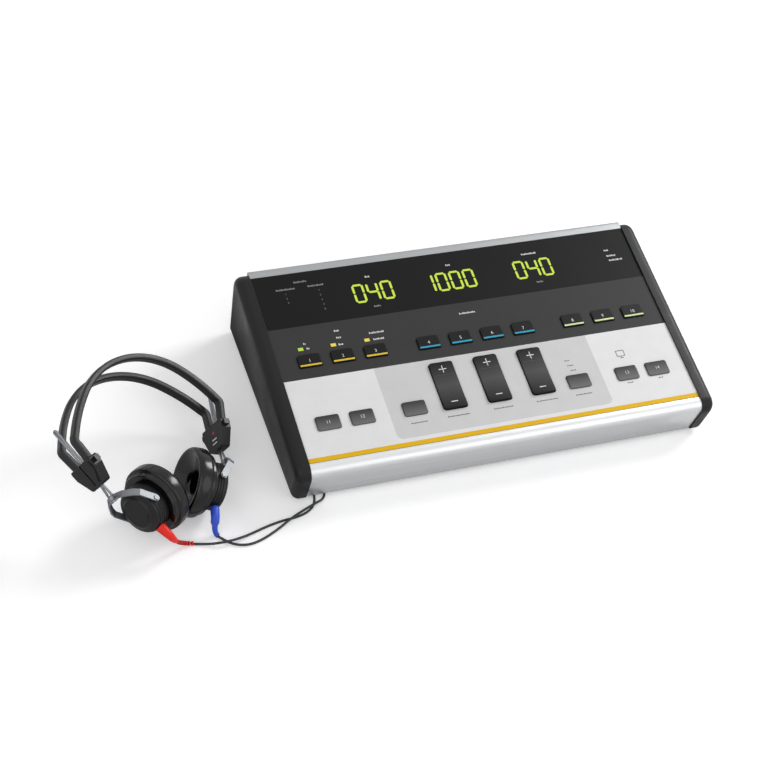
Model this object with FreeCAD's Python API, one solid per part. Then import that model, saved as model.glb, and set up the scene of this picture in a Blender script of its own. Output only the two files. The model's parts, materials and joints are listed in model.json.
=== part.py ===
import FreeCAD, Part
import math
import os
from FreeCAD import Matrix, Placement, Rotation, Vector

# Desktop audiometer: a sloping console with keys, rocker keys and digit windows, and a headset
# with two cushioned earphones whose leads run under the console to the rear sockets.
# Frame: X to the right of the person at the keys, Y to the rear, Z up, floor at Z = 0,
# origin midway between the console's cheeks.  Millimetres and degrees.

# ---------------------------------------------------------------- console, overall
CONSOLE_WIDTH = 420.0
CHEEK_THICKNESS = 14.0
CHEEK_WALL = 3.0
CHEEK_PROUD = 1.8            # cheek edge above the panel and ahead of the nose
FOOT_HEIGHT = 4.5
FOOT_RADIUS = 10.0
PANEL_SLOPE = 8.95
PANEL_LENGTH = 217.0         # down the slope, rear corner to nose
PANEL_REAR_Y = 113.0
PANEL_REAR_Z = 81.1
REAR_FACE_Y = 115.0
SHEET = 2.0                  # base plate, rear panel and top panel
PROFILE_WALL = 2.0
RIM_STRIP = 8.0              # aluminium strip behind the overlay
OVERLAY_THICKNESS = 0.3
EDGE_GAP = 0.4               # panel edge to the profiles
NOSE_REACH = 10.242088       # nose ahead of the panel's front edge
NOSE_FRONT_Z = 38.5
NOSE_SET_BACK = 8.0          # nose's foot behind its front
REAR_LIP_Z = 64.0            # rear profile's lower edge
REAR_FLANGE = 12.0           # rear panel's fold over the base
LEDGE_WIDTH = 8.0            # profile ledges that carry the top panel
CHANNEL_WALL = 1.6
CHEEK_REAR_RADIUS = 14.0
CHEEK_NOSE_RADIUS = 11.5
CHEEK_EDGE_RADIUS = 7.5
CHEEK_LOW_RADIUS = 2.5
CHEEK_RIB_Y = (-30.0, 30.0)
CHEEK_SKIN = 2.0             # left outside the pegs, tabs and ribs
CHEEK_TAB = (13.0, 14.0, 2.5)
CHEEK_TAB_SET = (33.6, 45.0)      # tabs behind the nose's foot and ahead of the rear face
PEG_RADIUS = 1.6
PEG_LENGTH = 8.0             # peg past the cheek's boss
PEG_BOSS_WALL = 2.4

# ---------------------------------------------------------------- keys, (u, v) on the panel
KEY_TRAVEL = 1.0
KEY_PROUD = 1.8
KEY_GAP = 0.3                # key to its opening
KEY_FLANGE = 1.5             # flange beyond the key's sides
KEY_FLANGE_THICKNESS = 1.0
KEY_STEM_RADIUS = 2.0
UPPER_KEY = (22.0, 14.0)
UPPER_KEY_ABOVE = 50.3       # upper keys behind the rockers' middle
KEY_PITCH = 32.4
GROUP_SIDE = (63.0, 61.3)    # outer groups' middles from the cheeks
MIDDLE_GROUP_U = 1.2
LOWER_KEY = (22.6, 14.8)
LOWER_KEY_EDGE = 38.8        # lower keys from the panel's front
LOWER_KEY_SIDE = (29.1, 61.8, 62.0, 29.6)      # outer keys from the cheeks, left to right
LOWER_KEY_INNER_U = 83.3     # the two keys beside the rockers
SWITCH_SIZE = 6.0
SWITCH_HEIGHT = 3.5
PLUNGER_RADIUS = 1.7
PLUNGER_HEIGHT = 0.8
KEY_EDGE_RADIUS = 0.6
UPPER_KEY_CORNERS = (0.8, 3.0)    # front pair, rear pair
LOWER_KEY_CORNERS = (2.2, 2.2)

# ---------------------------------------------------------------- rocker keys
ROCKER_WIDTH = 23.3
ROCKER_LENGTH = 51.0
ROCKER_EDGE = 57.2           # rockers' middle from the panel's front
ROCKER_U = (-44.3, 0.5, 45.3)
ROCKER_TILT = 3.5
ROCKER_PROUD = 3.0
ROCKER_DISH = 1.1            # hollow along the top of the rocker
ROCKER_GAP = 0.7
ROCKER_PIVOT_DEPTH = 4.6
ROCKER_PIN_RADIUS = 1.5
PIN_CLEARANCE = 0.08
EAR_THICKNESS = 3.0
EAR_GAP = 0.5
ROCKER_PUSH_V = 17.0         # pusher feet from the pivot
ROCKER_CORNER = 2.5
ROCKER_HUB_WALL = 1.4
EAR_OFFSET = ROCKER_WIDTH / 2 + EAR_GAP + 0.6
EAR_LENGTH = 8.0

# ---------------------------------------------------------------- displays and boards
BOARD_THICKNESS = 1.6
BOARD_DEPTH = 11.0           # keypad board's top below the panel's top
DIGIT_SIZE = (13.4, 27.0)
DIGIT_PITCH = 14.2
DISPLAY_U = (-82.2, 3.6, 86.7)
DIGIT_COUNTS = (3, 4, 3)
DISPLAY_V = 42.4
WINDOW_GAP = 0.4
LED_SIZE = (5.0, 3.5)
LED_SHIFTS = ((-37.0, 14.0), (-5.2, 13.5), (28.0, 13.3))     # from the left group's middle, to the rear
STUD_RADIUS = 2.5
STUD_SIDE = 10.0             # outer studs from the cheeks
STUD_ENDS = (20.0, 12.0)     # and from the panel's rear and front
MIDDLE_STUDS = (60.0, 4.05)  # inner studs' u, and how far ahead of the gap's middle
MAIN_BOARD = (240.0, 140.0)
MAIN_BOARD_Y = 18.0
SPACER_HEIGHT = 10.0
SPACER_RADIUS = 3.5
SPACER_X = (-105.0, 0.0, 105.0)
SPACER_STEP_Y = 60.0         # each row of spacers from the board's middle
CAPACITOR = (6.0, 14.0, 16.0)     # radius, height and pitch

# ---------------------------------------------------------------- rear sockets
SOCKET_Z = 30.0
JACK_BORE = 3.25
JACK_DEPTH = 18.0
JACK_NECK = 5.0
JACK_NUT = (7.0, 2.5)
JACK_BODY = (12.0, 14.0)
JACK_LIP = 0.8               # neck past the nut
JACK_X = (-150.0, -126.0, -92.0, -68.0, -34.0, -10.0)
USB_X = 30.0
USB_SIZE = (12.0, 11.0)
USB_OPENING = (8.6, 7.8)
USB_DEPTH = 14.0
INLET_X = 110.0
INLET_BODY = (14.0, 12.0)
INLET_DEPTH = 13.0
INLET_BORE = 2.8
INLET_PIN = 1.0
SWITCH_X = 150.0
SWITCH_FRAME = (22.0, 16.0)
SWITCH_BODY = (19.0, 13.0)
SWITCH_THROW = 8.0
SWITCH_DEPTH = 14.0
SWITCH_PIN = 1.0
SWITCH_LEVER = (15.0, 9.0)
LEVER_GAP = (0.3, 0.5)
PLUG_PIN = 3.15

# ---------------------------------------------------------------- fasteners
SCREW_RADIUS = 1.25
SCREW_HEAD = (2.8, 2.0)
SCREW_HOLE = 1.6
BOSS_HOLE = 1.3
FLANGE_SCREW_SIDE = 46.0     # outermost screw from the cheek
FOOT_SIDE = 36.0             # feet from the cheeks
FOOT_SET = (21.6, 23.0)      # feet behind the nose's foot and ahead of the rear face
FOOT_RECESS = (3.2, 2.4)     # radius and depth of the screw's recess
SLOT_SIZE = (3.6, 0.6, 0.8)  # arms of the cross in a screw's head

# ---------------------------------------------------------------- headset
HEADSET_TURN = Rotation(22.3, 17.6, -66.8)      # yaw, pitch, roll as it lies
HEADSET_PLACE = Vector(-331.1, -35.9, 57.4)
BAND_WIDTH = 8.6
BAND_THICKNESS = 7.4
BAND_CORNER = 2.0
CROWN_RADIUS = 76.0
CROWN_HALF_ANGLE = 44.0
SIDE_RADIUS = 150.0
SIDE_END_ANGLE = 62.5
KNEE_RADIUS = 7.0
LEG_LEAN = 19.0
LEG_LENGTH = 19.0            # knee to block
BAND_OFFSET = 10.2           # band's middle from the headset's middle, at the block
BAND_FAN = 5.9               # each band leans this far from the middle
BAND_SEAT = 8.0              # band's end inside the block
SEAT_CLEARANCE = 0.05
BLOCK_WIDTH = 33.0
BLOCK_END_WIDTH = 18.5
BLOCK_TOP = 0.5
BLOCK_LENGTH = 24.5
BLOCK_THICKNESS = 10.0
BLOCK_SHOULDER = 9.0         # straight sides down to here
BLOCK_EDGE_RADIUS = 1.2
BLOCK_PLATE = 1.0            # raised plate on the outer face
PLATE_SLOT = 2.2             # plate's edge from the middle
PLATE_MARGIN = 3.0
LUG_SIZE = (4.0, 5.0)
WIRE_RADIUS = 1.15
WIRE_SPREAD = 1.75           # each wire of the rod from its middle
WIRE_FORK = 3.0
CHANNEL_GAP = 0.25
ROD_ABOVE_BLOCK = 34.5
JOINT_BELOW_LEG = {"left": 38.1, "right": 39.2}
HUB_SET = {"left": (2.8, 4.6), "right": (2.0, 5.8)}       # hub from the rod's line, to the ear and across
HUB_RADIUS = 3.4
HUB_HEIGHT = 3.2
SWIVEL_PIN = 1.4
SWIVEL_CLEARANCE = 0.08
YOKE_DROP = 24.5             # swivel to earphone pivot, along the rod
EAR_SPREAD = 64.911227       # earphone spacing at the knees, which the yokes' crank keeps
YOKE_STRAP = (6.0, 1.4)
GUSSET_THICKNESS = 2.2
COLLAR_HEIGHT = 2.2
RIVET_HEAD = (2.2, 0.8)
SWIVEL_REST = {"left": 1.0, "right": 3.1}
TILT_REST = {"left": 0.4, "right": -8.5}

# ---------------------------------------------------------------- earphones, along the ear axis
HOUSING_RADIUS = 21.5
HOUSING_BACK = -3.5
HOUSING_FRONT = 8.0
HOUSING_GROOVES = 3
GROOVE_DEPTH = 0.7
CAP_BACK = -8.5
CAP_RADIUS = 14.8
VENT_RING = 12.0             # vents' distance from the ear axis
VENT_ANGLE = -40.0
VENT_STEP = 14.0
CUSHION_RADIUS = 31.3
CUSHION_STEP_RADIUS = 28.0
CUSHION_STEP = 13.0
CUSHION_FRONT = 26.5
CUSHION_GAP = 0.3
EAR_BORE = 9.5
EAR_RIM = 26.5
PIVOT_PIN = 1.5
PIVOT_DEPTH = 3.0
YOKE_SIDE_GAP = 1.2
YOKE_HALF_SPAN = HOUSING_RADIUS + YOKE_SIDE_GAP + YOKE_STRAP[1]

# ---------------------------------------------------------------- leads
LEAD_RADIUS = 1.15
ARC_SHARE = 0.45             # of the shorter run, taken by the arc at each bend
FLOOR_LEVEL = LEAD_RADIUS + 0.2
CROSSING_LEVEL = 4.4
COIL_RADIUS = 14.0
COIL_SECTION = 5.8
COIL_CENTRES = {"left": Vector(-160.0, 150.0, 0), "right": Vector(-108.0, 150.0, 0)}
PLUG_WIDTH = {"left": 4.6, "right": 4.2}
BOOT_TIP = 1.9
JACK_HANDLE = (5.5, 24.0)
JACK_TAPER = 8.0
PLUG_AT = {"left": (-1.0, -8.0), "right": (-1.0, 4.0)}     # along the ear axis, and degrees about it
PLUG_BODY = {"left": 9.0, "right": 8.0}
BOOT_STEPS = 6
BOOT_PULL = {"left": (0.3, 0.4), "right": (0.3, 0.3)}      # how far each end keeps its direction

# Points of each lead from its jack down to the coil, from the jack's tip.
DROP_ROUTE = {
    "left": ((0.0, 0.0, 0.0), (0.0, 9.0, 0.0), (-1.0, 16.0, -8.0), (-3.4, 17.8, -17.0),
             (-6.6, 14.0, -24.0)),
    "right": ((0.0, 0.0, 0.0), (0.0, 9.0, 0.0), (3.0, 16.0, -8.0), (6.0, 17.5, -17.0),
              (9.4, 13.0, -24.0))}

# Lead routes on the floor, in plan; the crossings are raised.
LEFT_ROUTE = (
    (-306.4, -130.8, 0), (-294.0, -134.0, 0), (-281.0, -137.2, 1), (-268.0, -136.2, 1),
    (-255.5, -131.6, 0), (-240.0, -126.8, 0), (-224.0, -123.2, 0), (-209.0, -122.4, 0),
    (-197.0, -118.6, 0), (-189.4, -111.6, 0), (-186.4, -100.5, 0), (-184.2, -82.0, 0),
    (-185.4, -50.0, 0), (-183.4, 2.0, 0), (-185.6, 56.0, 0), (-183.0, 104.0, 0),
    (-176.0, 128.0, 0), (-166.0, 141.0, 0))
RIGHT_ROUTE = (
    (-283.5, -127.3, 0), (-277.5, -135.0, 0), (-268.5, -140.8, 0), (-257.5, -142.6, 0),
    (-245.0, -139.2, 0), (-230.0, -132.0, 0), (-215.0, -124.2, 1), (-201.5, -118.0, 1),
    (-188.5, -112.6, 1), (-179.5, -107.4, 0), (-175.6, -98.5, 0), (-176.4, -84.0, 0),
    (-175.0, -58.0, 0), (-176.6, -12.0, 0), (-174.6, 40.0, 0), (-174.5, 84.0, 0),
    (-174.5, 106.0, 0), (-163.0, 124.0, 0), (-136.0, 134.0, 0), (-118.0, 139.0, 0))

# ================================================================ derived places
HALF_WIDTH = CONSOLE_WIDTH / 2
INNER_X = HALF_WIDTH - CHEEK_THICKNESS
BASE_Z = FOOT_HEIGHT
FLOOR_PLATE_TOP = BASE_Z + SHEET
PANEL_FRONT_Y = PANEL_REAR_Y - PANEL_LENGTH * math.cos(math.radians(PANEL_SLOPE))
NOSE_FRONT_Y = PANEL_FRONT_Y - NOSE_REACH
NOSE_FOOT_Y = NOSE_FRONT_Y + NOSE_SET_BACK
PANEL = Placement(Vector(0, PANEL_REAR_Y, PANEL_REAR_Z), Rotation(Vector(1, 0, 0), PANEL_SLOPE))
PANEL_FRONT_V = PANEL_LENGTH - EDGE_GAP
PANEL_REAR_V = RIM_STRIP + EDGE_GAP
ROCKER_V = PANEL_LENGTH - ROCKER_EDGE
UPPER_KEY_V = ROCKER_V - UPPER_KEY_ABOVE
LOWER_KEY_V = PANEL_LENGTH - LOWER_KEY_EDGE
LEFT_GROUP_U = GROUP_SIDE[0] - INNER_X
RIGHT_GROUP_U = INNER_X - GROUP_SIDE[1]
LOWER_KEY_U = (LOWER_KEY_SIDE[0] - INNER_X, LOWER_KEY_SIDE[1] - INNER_X, -LOWER_KEY_INNER_U,
               LOWER_KEY_INNER_U, INNER_X - LOWER_KEY_SIDE[2], INNER_X - LOWER_KEY_SIDE[3])
LED_PLACES = [(LEFT_GROUP_U + u, UPPER_KEY_V - v) for u, v in LED_SHIFTS]
STUDS = [(side * (INNER_X - STUD_SIDE), v) for side in (-1, 1)
         for v in (STUD_ENDS[0], UPPER_KEY_V + 8.5, PANEL_LENGTH - STUD_ENDS[1])]
STUDS += [(side * MIDDLE_STUDS[0], (DISPLAY_V + UPPER_KEY_V) / 2 + MIDDLE_STUDS[1]) for side in (-1, 1)]
FRONT_CHANNEL = Vector(0, NOSE_FOOT_Y, 30.0)
REAR_CHANNEL = Vector(0, REAR_FACE_Y - 6.0, REAR_LIP_Z + 4.5)
FRONT_SCREW_Y = NOSE_FOOT_Y + 7.0
REAR_INNER_Y = REAR_FACE_Y - SHEET
REAR_SCREW_Y = REAR_INNER_Y - REAR_FLANGE / 2
FLANGE_SCREW_X = [step * (INNER_X - FLANGE_SCREW_SIDE) / 3 for step in (-3, -1, 1, 3)]
FOOT_X = INNER_X - FOOT_SIDE
FOOT_Y = (NOSE_FOOT_Y + FOOT_SET[0], REAR_FACE_Y - FOOT_SET[1])
CHEEK_TAB_Y = (NOSE_FOOT_Y + CHEEK_TAB_SET[0], REAR_FACE_Y - CHEEK_TAB_SET[1])
SPACERS = [(x, MAIN_BOARD_Y + step) for x in SPACER_X for step in (-SPACER_STEP_Y, SPACER_STEP_Y)]
SWITCH_TOP = SWITCH_HEIGHT - BOARD_DEPTH        # key switches' upper face below the panel
JACK_MOUTH_Y = REAR_FACE_Y + JACK_NUT[1] + JACK_LIP
SWITCH_PIVOT = Vector(SWITCH_X, REAR_FACE_Y - 3.0, SOCKET_Z)
HEADSET = Placement(HEADSET_PLACE, HEADSET_TURN)
LEAN = math.radians(LEG_LEAN)
PIVOT_PIN_REACH = HOUSING_RADIUS - PIVOT_DEPTH
UP = Vector(0, 0, 1)
ALONG_X = Vector(1, 0, 0)
ALONG_Y = Vector(0, 1, 0)


# ================================================================ small helpers
def panel_point(u, v, h=0.0):
    """Point of the row frame at u across, v down the slope and h above the panel."""
    return PANEL.multVec(Vector(u, -v, h))


def placed(shape, placement):
    """Copy of the shape moved by the placement, with the move baked in."""
    copy = shape.copy()
    copy.transformShape(placement.toMatrix(), True)
    return copy


def box(low, high):
    """Box between two corners."""
    size = high - low
    return Part.makeBox(size.x, size.y, size.z, low)


def centred_box(centre, size_x, size_y, z_low, z_high):
    """Upright box about a centre, between two heights."""
    return Part.makeBox(size_x, size_y, z_high - z_low,
                        Vector(centre.x - size_x / 2, centre.y - size_y / 2, z_low))


def socket_box(x, size, y_low, y_high):
    """Box of a (width, height) about a socket's axis, between two planes of Y."""
    half = Vector(size[0] / 2, 0, size[1] / 2)
    return box(Vector(x, y_low, SOCKET_Z) - half, Vector(x, y_high, SOCKET_Z) + half)


def socket_bar(x, radius, y_low, y_high):
    """Round bar on a socket's axis, between two planes of Y."""
    return Part.makeCylinder(radius, y_high - y_low, Vector(x, y_low, SOCKET_Z), ALONG_Y)


def rod_between(start, end, radius):
    """Round bar between two points."""
    return Part.makeCylinder(radius, (end - start).Length, start, end - start)


def rounded_wire(points, radii):
    """Closed outline through the points, each corner rounded by its own radius (0 is sharp)."""
    count = len(points)
    cuts = []
    for index, corner in enumerate(points):
        before = points[index - 1] - corner
        after = points[(index + 1) % count] - corner
        radius = radii[index]
        if radius <= 0:
            cuts.append((corner, None, corner))
            continue
        half = before.getAngle(after) / 2
        reach = radius / math.tan(half)
        before.normalize()
        after.normalize()
        middle = (before + after).normalize() * (radius / math.sin(half) - radius)
        cuts.append((corner + before * reach, corner + middle, corner + after * reach))
    edges = []
    for index, (first, middle, last) in enumerate(cuts):
        if middle is not None:
            edges.append(Part.Arc(first, middle, last).toShape())
        following = cuts[(index + 1) % count][0]
        if (following - last).Length > 1e-6:
            edges.append(Part.LineSegment(last, following).toShape())
    return Part.Wire(edges)


def prism(points, radii, direction):
    """Solid swept from a rounded outline along a vector."""
    return Part.Face(rounded_wire(points, radii)).extrude(direction)


def rounded_block(width, length, corner, z_low, z_high, centre=Vector()):
    """Upright block with rounded vertical corners; corner may be one radius or four."""
    radii = corner if isinstance(corner, (tuple, list)) else [corner] * 4
    half_x, half_y = width / 2, length / 2
    points = [Vector(centre.x + x * half_x, centre.y + y * half_y, z_low)
              for x, y in ((-1, -1), (1, -1), (1, 1), (-1, 1))]
    return prism(points, radii, Vector(0, 0, z_high - z_low))


def section_x(points, radii, half_length):
    """Solid of a (y, z) section drawn along X, the same on both sides of the middle."""
    corners = [Vector(-half_length, y, z) for y, z in points]
    return prism(corners, radii, Vector(2 * half_length, 0, 0))


def fuse(shapes):
    """One solid of several that meet."""
    return shapes[0].multiFuse(shapes[1:]).removeSplitter() if len(shapes) > 1 else shapes[0]


def revolve(points):
    """Solid turned about X from (x, radius) points."""
    corners = [Vector(x, radius, 0) for x, radius in points]
    outline = Part.makePolygon(corners + [corners[0]])
    return Part.Face(outline).revolve(Vector(), ALONG_X, 360)


# ================================================================ console shells
def nose_outline(inset):
    """Front curve of the nose: quarter round at the top and a slanted face, inset by a wall."""
    top = panel_point(0, PANEL_LENGTH, OVERLAY_THICKNESS)
    rise = top.z - NOSE_FRONT_Z
    run = top.y - NOSE_FRONT_Y
    radius = (run * run + rise * rise) / (2 * run)
    centre = Vector(0, NOSE_FRONT_Y + radius, NOSE_FRONT_Z)
    lean = math.atan2(NOSE_FOOT_Y - NOSE_FRONT_Y, NOSE_FRONT_Z - BASE_Z)
    shift = inset / math.cos(lean)
    front = Vector(0, NOSE_FRONT_Y + shift, NOSE_FRONT_Z)
    foot = Vector(0, NOSE_FOOT_Y + shift, BASE_Z)
    start = centre + (top - centre) * ((radius - inset) / radius)
    return start, centre, radius - inset, front, foot


def nose_solid(inset, back_y, half_length):
    """Everything between the nose curve and an upright plane at back_y."""
    start, centre, radius, front, foot = nose_outline(inset)
    shift = Vector(-half_length, 0, 0)
    first = (start - centre).normalize()
    last = (front - centre).normalize()
    middle = centre + (first + last).normalize() * radius
    front_round = centre + last * radius
    edges = [
        Part.Arc(start + shift, middle + shift, front_round + shift).toShape(),
        Part.LineSegment(front_round + shift, foot + shift).toShape(),
        Part.LineSegment(foot + shift, Vector(-half_length, back_y, foot.z)).toShape(),
        Part.LineSegment(Vector(-half_length, back_y, foot.z),
                         Vector(-half_length, back_y, start.z)).toShape()]
    if abs(back_y - start.y) > 1e-6:
        edges.append(Part.LineSegment(Vector(-half_length, back_y, start.z), start + shift).toShape())
    return Part.Face(Part.Wire(edges)).extrude(Vector(2 * half_length, 0, 0))


def panel_bar(v_low, v_high, h_low, h_high, half_length=INNER_X):
    """Bar across the console, drawn in the panel's own frame."""
    bar = box(Vector(-half_length, -v_high, h_low), Vector(half_length, -v_low, h_high))
    return placed(bar, PANEL)


def channel(centre, half_length):
    """Round screw and peg channel along a profile."""
    start = centre - Vector(half_length, 0, 0)
    outer = Part.makeCylinder(PEG_RADIUS + PIN_CLEARANCE + CHANNEL_WALL, 2 * half_length, start, ALONG_X)
    inner = Part.makeCylinder(PEG_RADIUS + PIN_CLEARANCE, 2 * half_length, start, ALONG_X)
    return outer, inner


def front_profile():
    """Aluminium nose with a ledge for the top panel, a foot flange and a screw channel."""
    back_y = panel_point(0, PANEL_LENGTH, OVERLAY_THICKNESS).y
    shell = nose_solid(0, back_y, INNER_X)
    shell = shell.cut(nose_solid(PROFILE_WALL, back_y + 1, INNER_X))
    web = panel_bar(PANEL_LENGTH, PANEL_LENGTH + PROFILE_WALL, -2 * SHEET, 0)
    ledge = panel_bar(PANEL_LENGTH - LEDGE_WIDTH, PANEL_LENGTH + PROFILE_WALL, -2 * SHEET, -SHEET)
    flange = box(Vector(-INNER_X, NOSE_FOOT_Y + 1, FLOOR_PLATE_TOP),
                 Vector(INNER_X, NOSE_FOOT_Y + 12, FLOOR_PLATE_TOP + SHEET))
    outer, inner = channel(FRONT_CHANNEL, INNER_X)
    rib = box(Vector(-INNER_X, NOSE_FRONT_Y + 3.0, FRONT_CHANNEL.z - 1),
              Vector(INNER_X, FRONT_CHANNEL.y, FRONT_CHANNEL.z + 1))
    body = fuse([shell, web, ledge, flange, rib, outer]).cut(inner)
    for x in FLANGE_SCREW_X:
        body = body.cut(Part.makeCylinder(BOSS_HOLE, SHEET + 2, Vector(x, FRONT_SCREW_Y, BASE_Z + 1)))
    return body


def rear_profile():
    """Aluminium rear edge: top strip, rounded corner, rear lip, panel ledge and screw channel."""
    top_front = panel_point(0, RIM_STRIP, OVERLAY_THICKNESS)
    rise = (REAR_FACE_Y - top_front.y) * math.tan(math.radians(PANEL_SLOPE))
    corner = Vector(0, REAR_FACE_Y, top_front.z + rise)
    inside = Vector(0, REAR_FACE_Y - PROFILE_WALL, corner.z - PROFILE_WALL - 1)
    outline = [(top_front.y, top_front.z - PROFILE_WALL), (inside.y, inside.z), (inside.y, REAR_LIP_Z),
               (REAR_FACE_Y, REAR_LIP_Z), (REAR_FACE_Y, corner.z), (top_front.y, top_front.z)]
    shell = section_x(outline, (0, 1, 0, 0, 3.2, 0), INNER_X)
    tab = box(Vector(-INNER_X, inside.y - PROFILE_WALL, REAR_LIP_Z - 6),
              Vector(INNER_X, inside.y, REAR_LIP_Z + 4))
    web = panel_bar(RIM_STRIP - PROFILE_WALL, RIM_STRIP, -2 * SHEET, 0)
    ledge = panel_bar(RIM_STRIP - PROFILE_WALL, RIM_STRIP + LEDGE_WIDTH, -2 * SHEET, -SHEET)
    outer, inner = channel(REAR_CHANNEL, INNER_X)
    rib = box(Vector(-INNER_X, REAR_CHANNEL.y, REAR_CHANNEL.z - 1),
              Vector(INNER_X, inside.y, REAR_CHANNEL.z + 1))
    return fuse([shell, tab, web, ledge, rib, outer]).cut(inner)


def rear_panel():
    """Steel rear panel with a bottom flange and the socket cut-outs."""
    sheet = box(Vector(-INNER_X, REAR_INNER_Y, FLOOR_PLATE_TOP), Vector(INNER_X, REAR_FACE_Y, REAR_LIP_Z))
    flange = box(Vector(-INNER_X, REAR_INNER_Y - REAR_FLANGE, FLOOR_PLATE_TOP),
                 Vector(INNER_X, REAR_INNER_Y, FLOOR_PLATE_TOP + SHEET))
    body = sheet.fuse(flange).removeSplitter()
    before, behind = REAR_INNER_Y - SHEET, REAR_FACE_Y + SHEET
    cutters = [socket_bar(x, JACK_NECK, before, behind) for x in JACK_X + (INLET_X,)]
    cutters.append(socket_box(USB_X, USB_SIZE, before, behind))
    cutters.append(socket_box(SWITCH_X, SWITCH_BODY, before, behind))
    body = body.cut(cutters)
    for x in FLANGE_SCREW_X:
        body = body.cut(Part.makeCylinder(BOSS_HOLE, SHEET + 2, Vector(x, REAR_SCREW_Y, BASE_Z + 1)))
    return body


def base_plate():
    """Folded steel base with board spacers and screw holes."""
    plate = box(Vector(-INNER_X, NOSE_FOOT_Y + PROFILE_WALL + 0.4, BASE_Z),
                Vector(INNER_X, REAR_FACE_Y, FLOOR_PLATE_TOP))
    posts = [Part.makeCylinder(SPACER_RADIUS, SHEET + SPACER_HEIGHT, Vector(x, y, BASE_Z)) for x, y in SPACERS]
    body = fuse([plate] + posts)
    for x, y in SPACERS:
        body = body.cut(Part.makeCylinder(BOSS_HOLE, SPACER_HEIGHT, Vector(x, y, FLOOR_PLATE_TOP)))
    for x, y in screw_places():
        body = body.cut(Part.makeCylinder(SCREW_HOLE, SHEET + 2, Vector(x, y, BASE_Z - 1)))
    return body


def screw_places():
    """Plan places of the screws through the base."""
    tab_x = INNER_X - CHEEK_TAB[0] / 2
    places = [(x, FRONT_SCREW_Y) for x in FLANGE_SCREW_X]
    places += [(x, REAR_SCREW_Y) for x in FLANGE_SCREW_X]
    places += [(side * tab_x, y) for side in (-1, 1) for y in CHEEK_TAB_Y]
    places += [(side * FOOT_X, y) for side in (-1, 1) for y in FOOT_Y]
    return places


def case_screws():
    """Pan-head screws: base to profiles, rear panel and cheeks, and one in each foot."""
    screws = []
    for x, y in screw_places():
        in_foot = abs(abs(x) - FOOT_X) < 0.01
        seat_z = FOOT_RECESS[1] if in_foot else BASE_Z
        low_z = seat_z - SCREW_HEAD[1]
        head = Part.makeCylinder(SCREW_HEAD[0], SCREW_HEAD[1], Vector(x, y, low_z))
        head = head.makeFillet(0.7, [edge for edge in head.Edges if edge.BoundBox.ZMax < low_z + 0.01])
        long, narrow, deep = SLOT_SIZE
        slots = [centred_box(Vector(x, y, 0), across, along, low_z, low_z + deep)
                 for across, along in ((long, narrow), (narrow, long))]
        length = FLOOR_PLATE_TOP + SHEET - seat_z - 0.2
        shank = Part.makeCylinder(SCREW_RADIUS, length, Vector(x, y, seat_z))
        screws.append(head.cut(slots).fuse(shank).removeSplitter())
    return Part.makeCompound(screws)


def feet():
    """Four rubber feet with a recess for their screws."""
    shapes = []
    for side in (-1, 1):
        for y in FOOT_Y:
            centre = Vector(side * FOOT_X, y, 0)
            foot = Part.makeCone(FOOT_RADIUS - 1, FOOT_RADIUS, FOOT_HEIGHT, centre)
            foot = foot.cut(Part.makeCylinder(FOOT_RECESS[0], FOOT_RECESS[1], centre))
            shapes.append(foot.cut(Part.makeCylinder(SCREW_HOLE, FOOT_HEIGHT, centre)))
    return Part.makeCompound(shapes)


def cheek_outline(inset, x):
    """Side outline of a cheek as corners and radii, inset by a wall."""
    slope = math.radians(PANEL_SLOPE)
    lift = CHEEK_PROUD - inset
    front_lean = math.atan2(NOSE_FOOT_Y - NOSE_FRONT_Y, NOSE_FRONT_Z - BASE_Z)
    rear_y = REAR_FACE_Y + CHEEK_PROUD - inset
    bottom_z = BASE_Z + inset

    def top_z(y):
        return PANEL_REAR_Z - (PANEL_REAR_Y - y) * math.tan(slope) + lift / math.cos(slope)

    def front_y(z):
        return NOSE_FRONT_Y - CHEEK_PROUD + inset + (NOSE_FRONT_Z - z) * math.tan(front_lean)

    # where the slanted front meets the sloping top
    z = NOSE_FRONT_Z
    for _ in range(20):
        z = top_z(front_y(z))
    corners = [Vector(x, rear_y, bottom_z), Vector(x, rear_y, top_z(rear_y)),
               Vector(x, front_y(z), z), Vector(x, front_y(bottom_z), bottom_z)]
    return corners, (CHEEK_LOW_RADIUS, CHEEK_REAR_RADIUS - inset, CHEEK_NOSE_RADIUS - inset, CHEEK_LOW_RADIUS)


def cheek_block(side, inset, depth, edge_radius):
    """Cheek-shaped block from the inner plane outwards, its outer upper edges rounded."""
    corners, radii = cheek_outline(inset, side * INNER_X)
    block = prism(corners, radii, Vector(side * depth, 0, 0))
    outer_x = side * (INNER_X + depth)
    bottom_z = BASE_Z + inset
    rounded = [edge for edge in block.Edges
               if abs(edge.BoundBox.XMin - outer_x) < 0.01 and abs(edge.BoundBox.XMax - outer_x) < 0.01
               and edge.BoundBox.ZMax > bottom_z + 3]
    return block.makeFillet(edge_radius, rounded)


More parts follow.
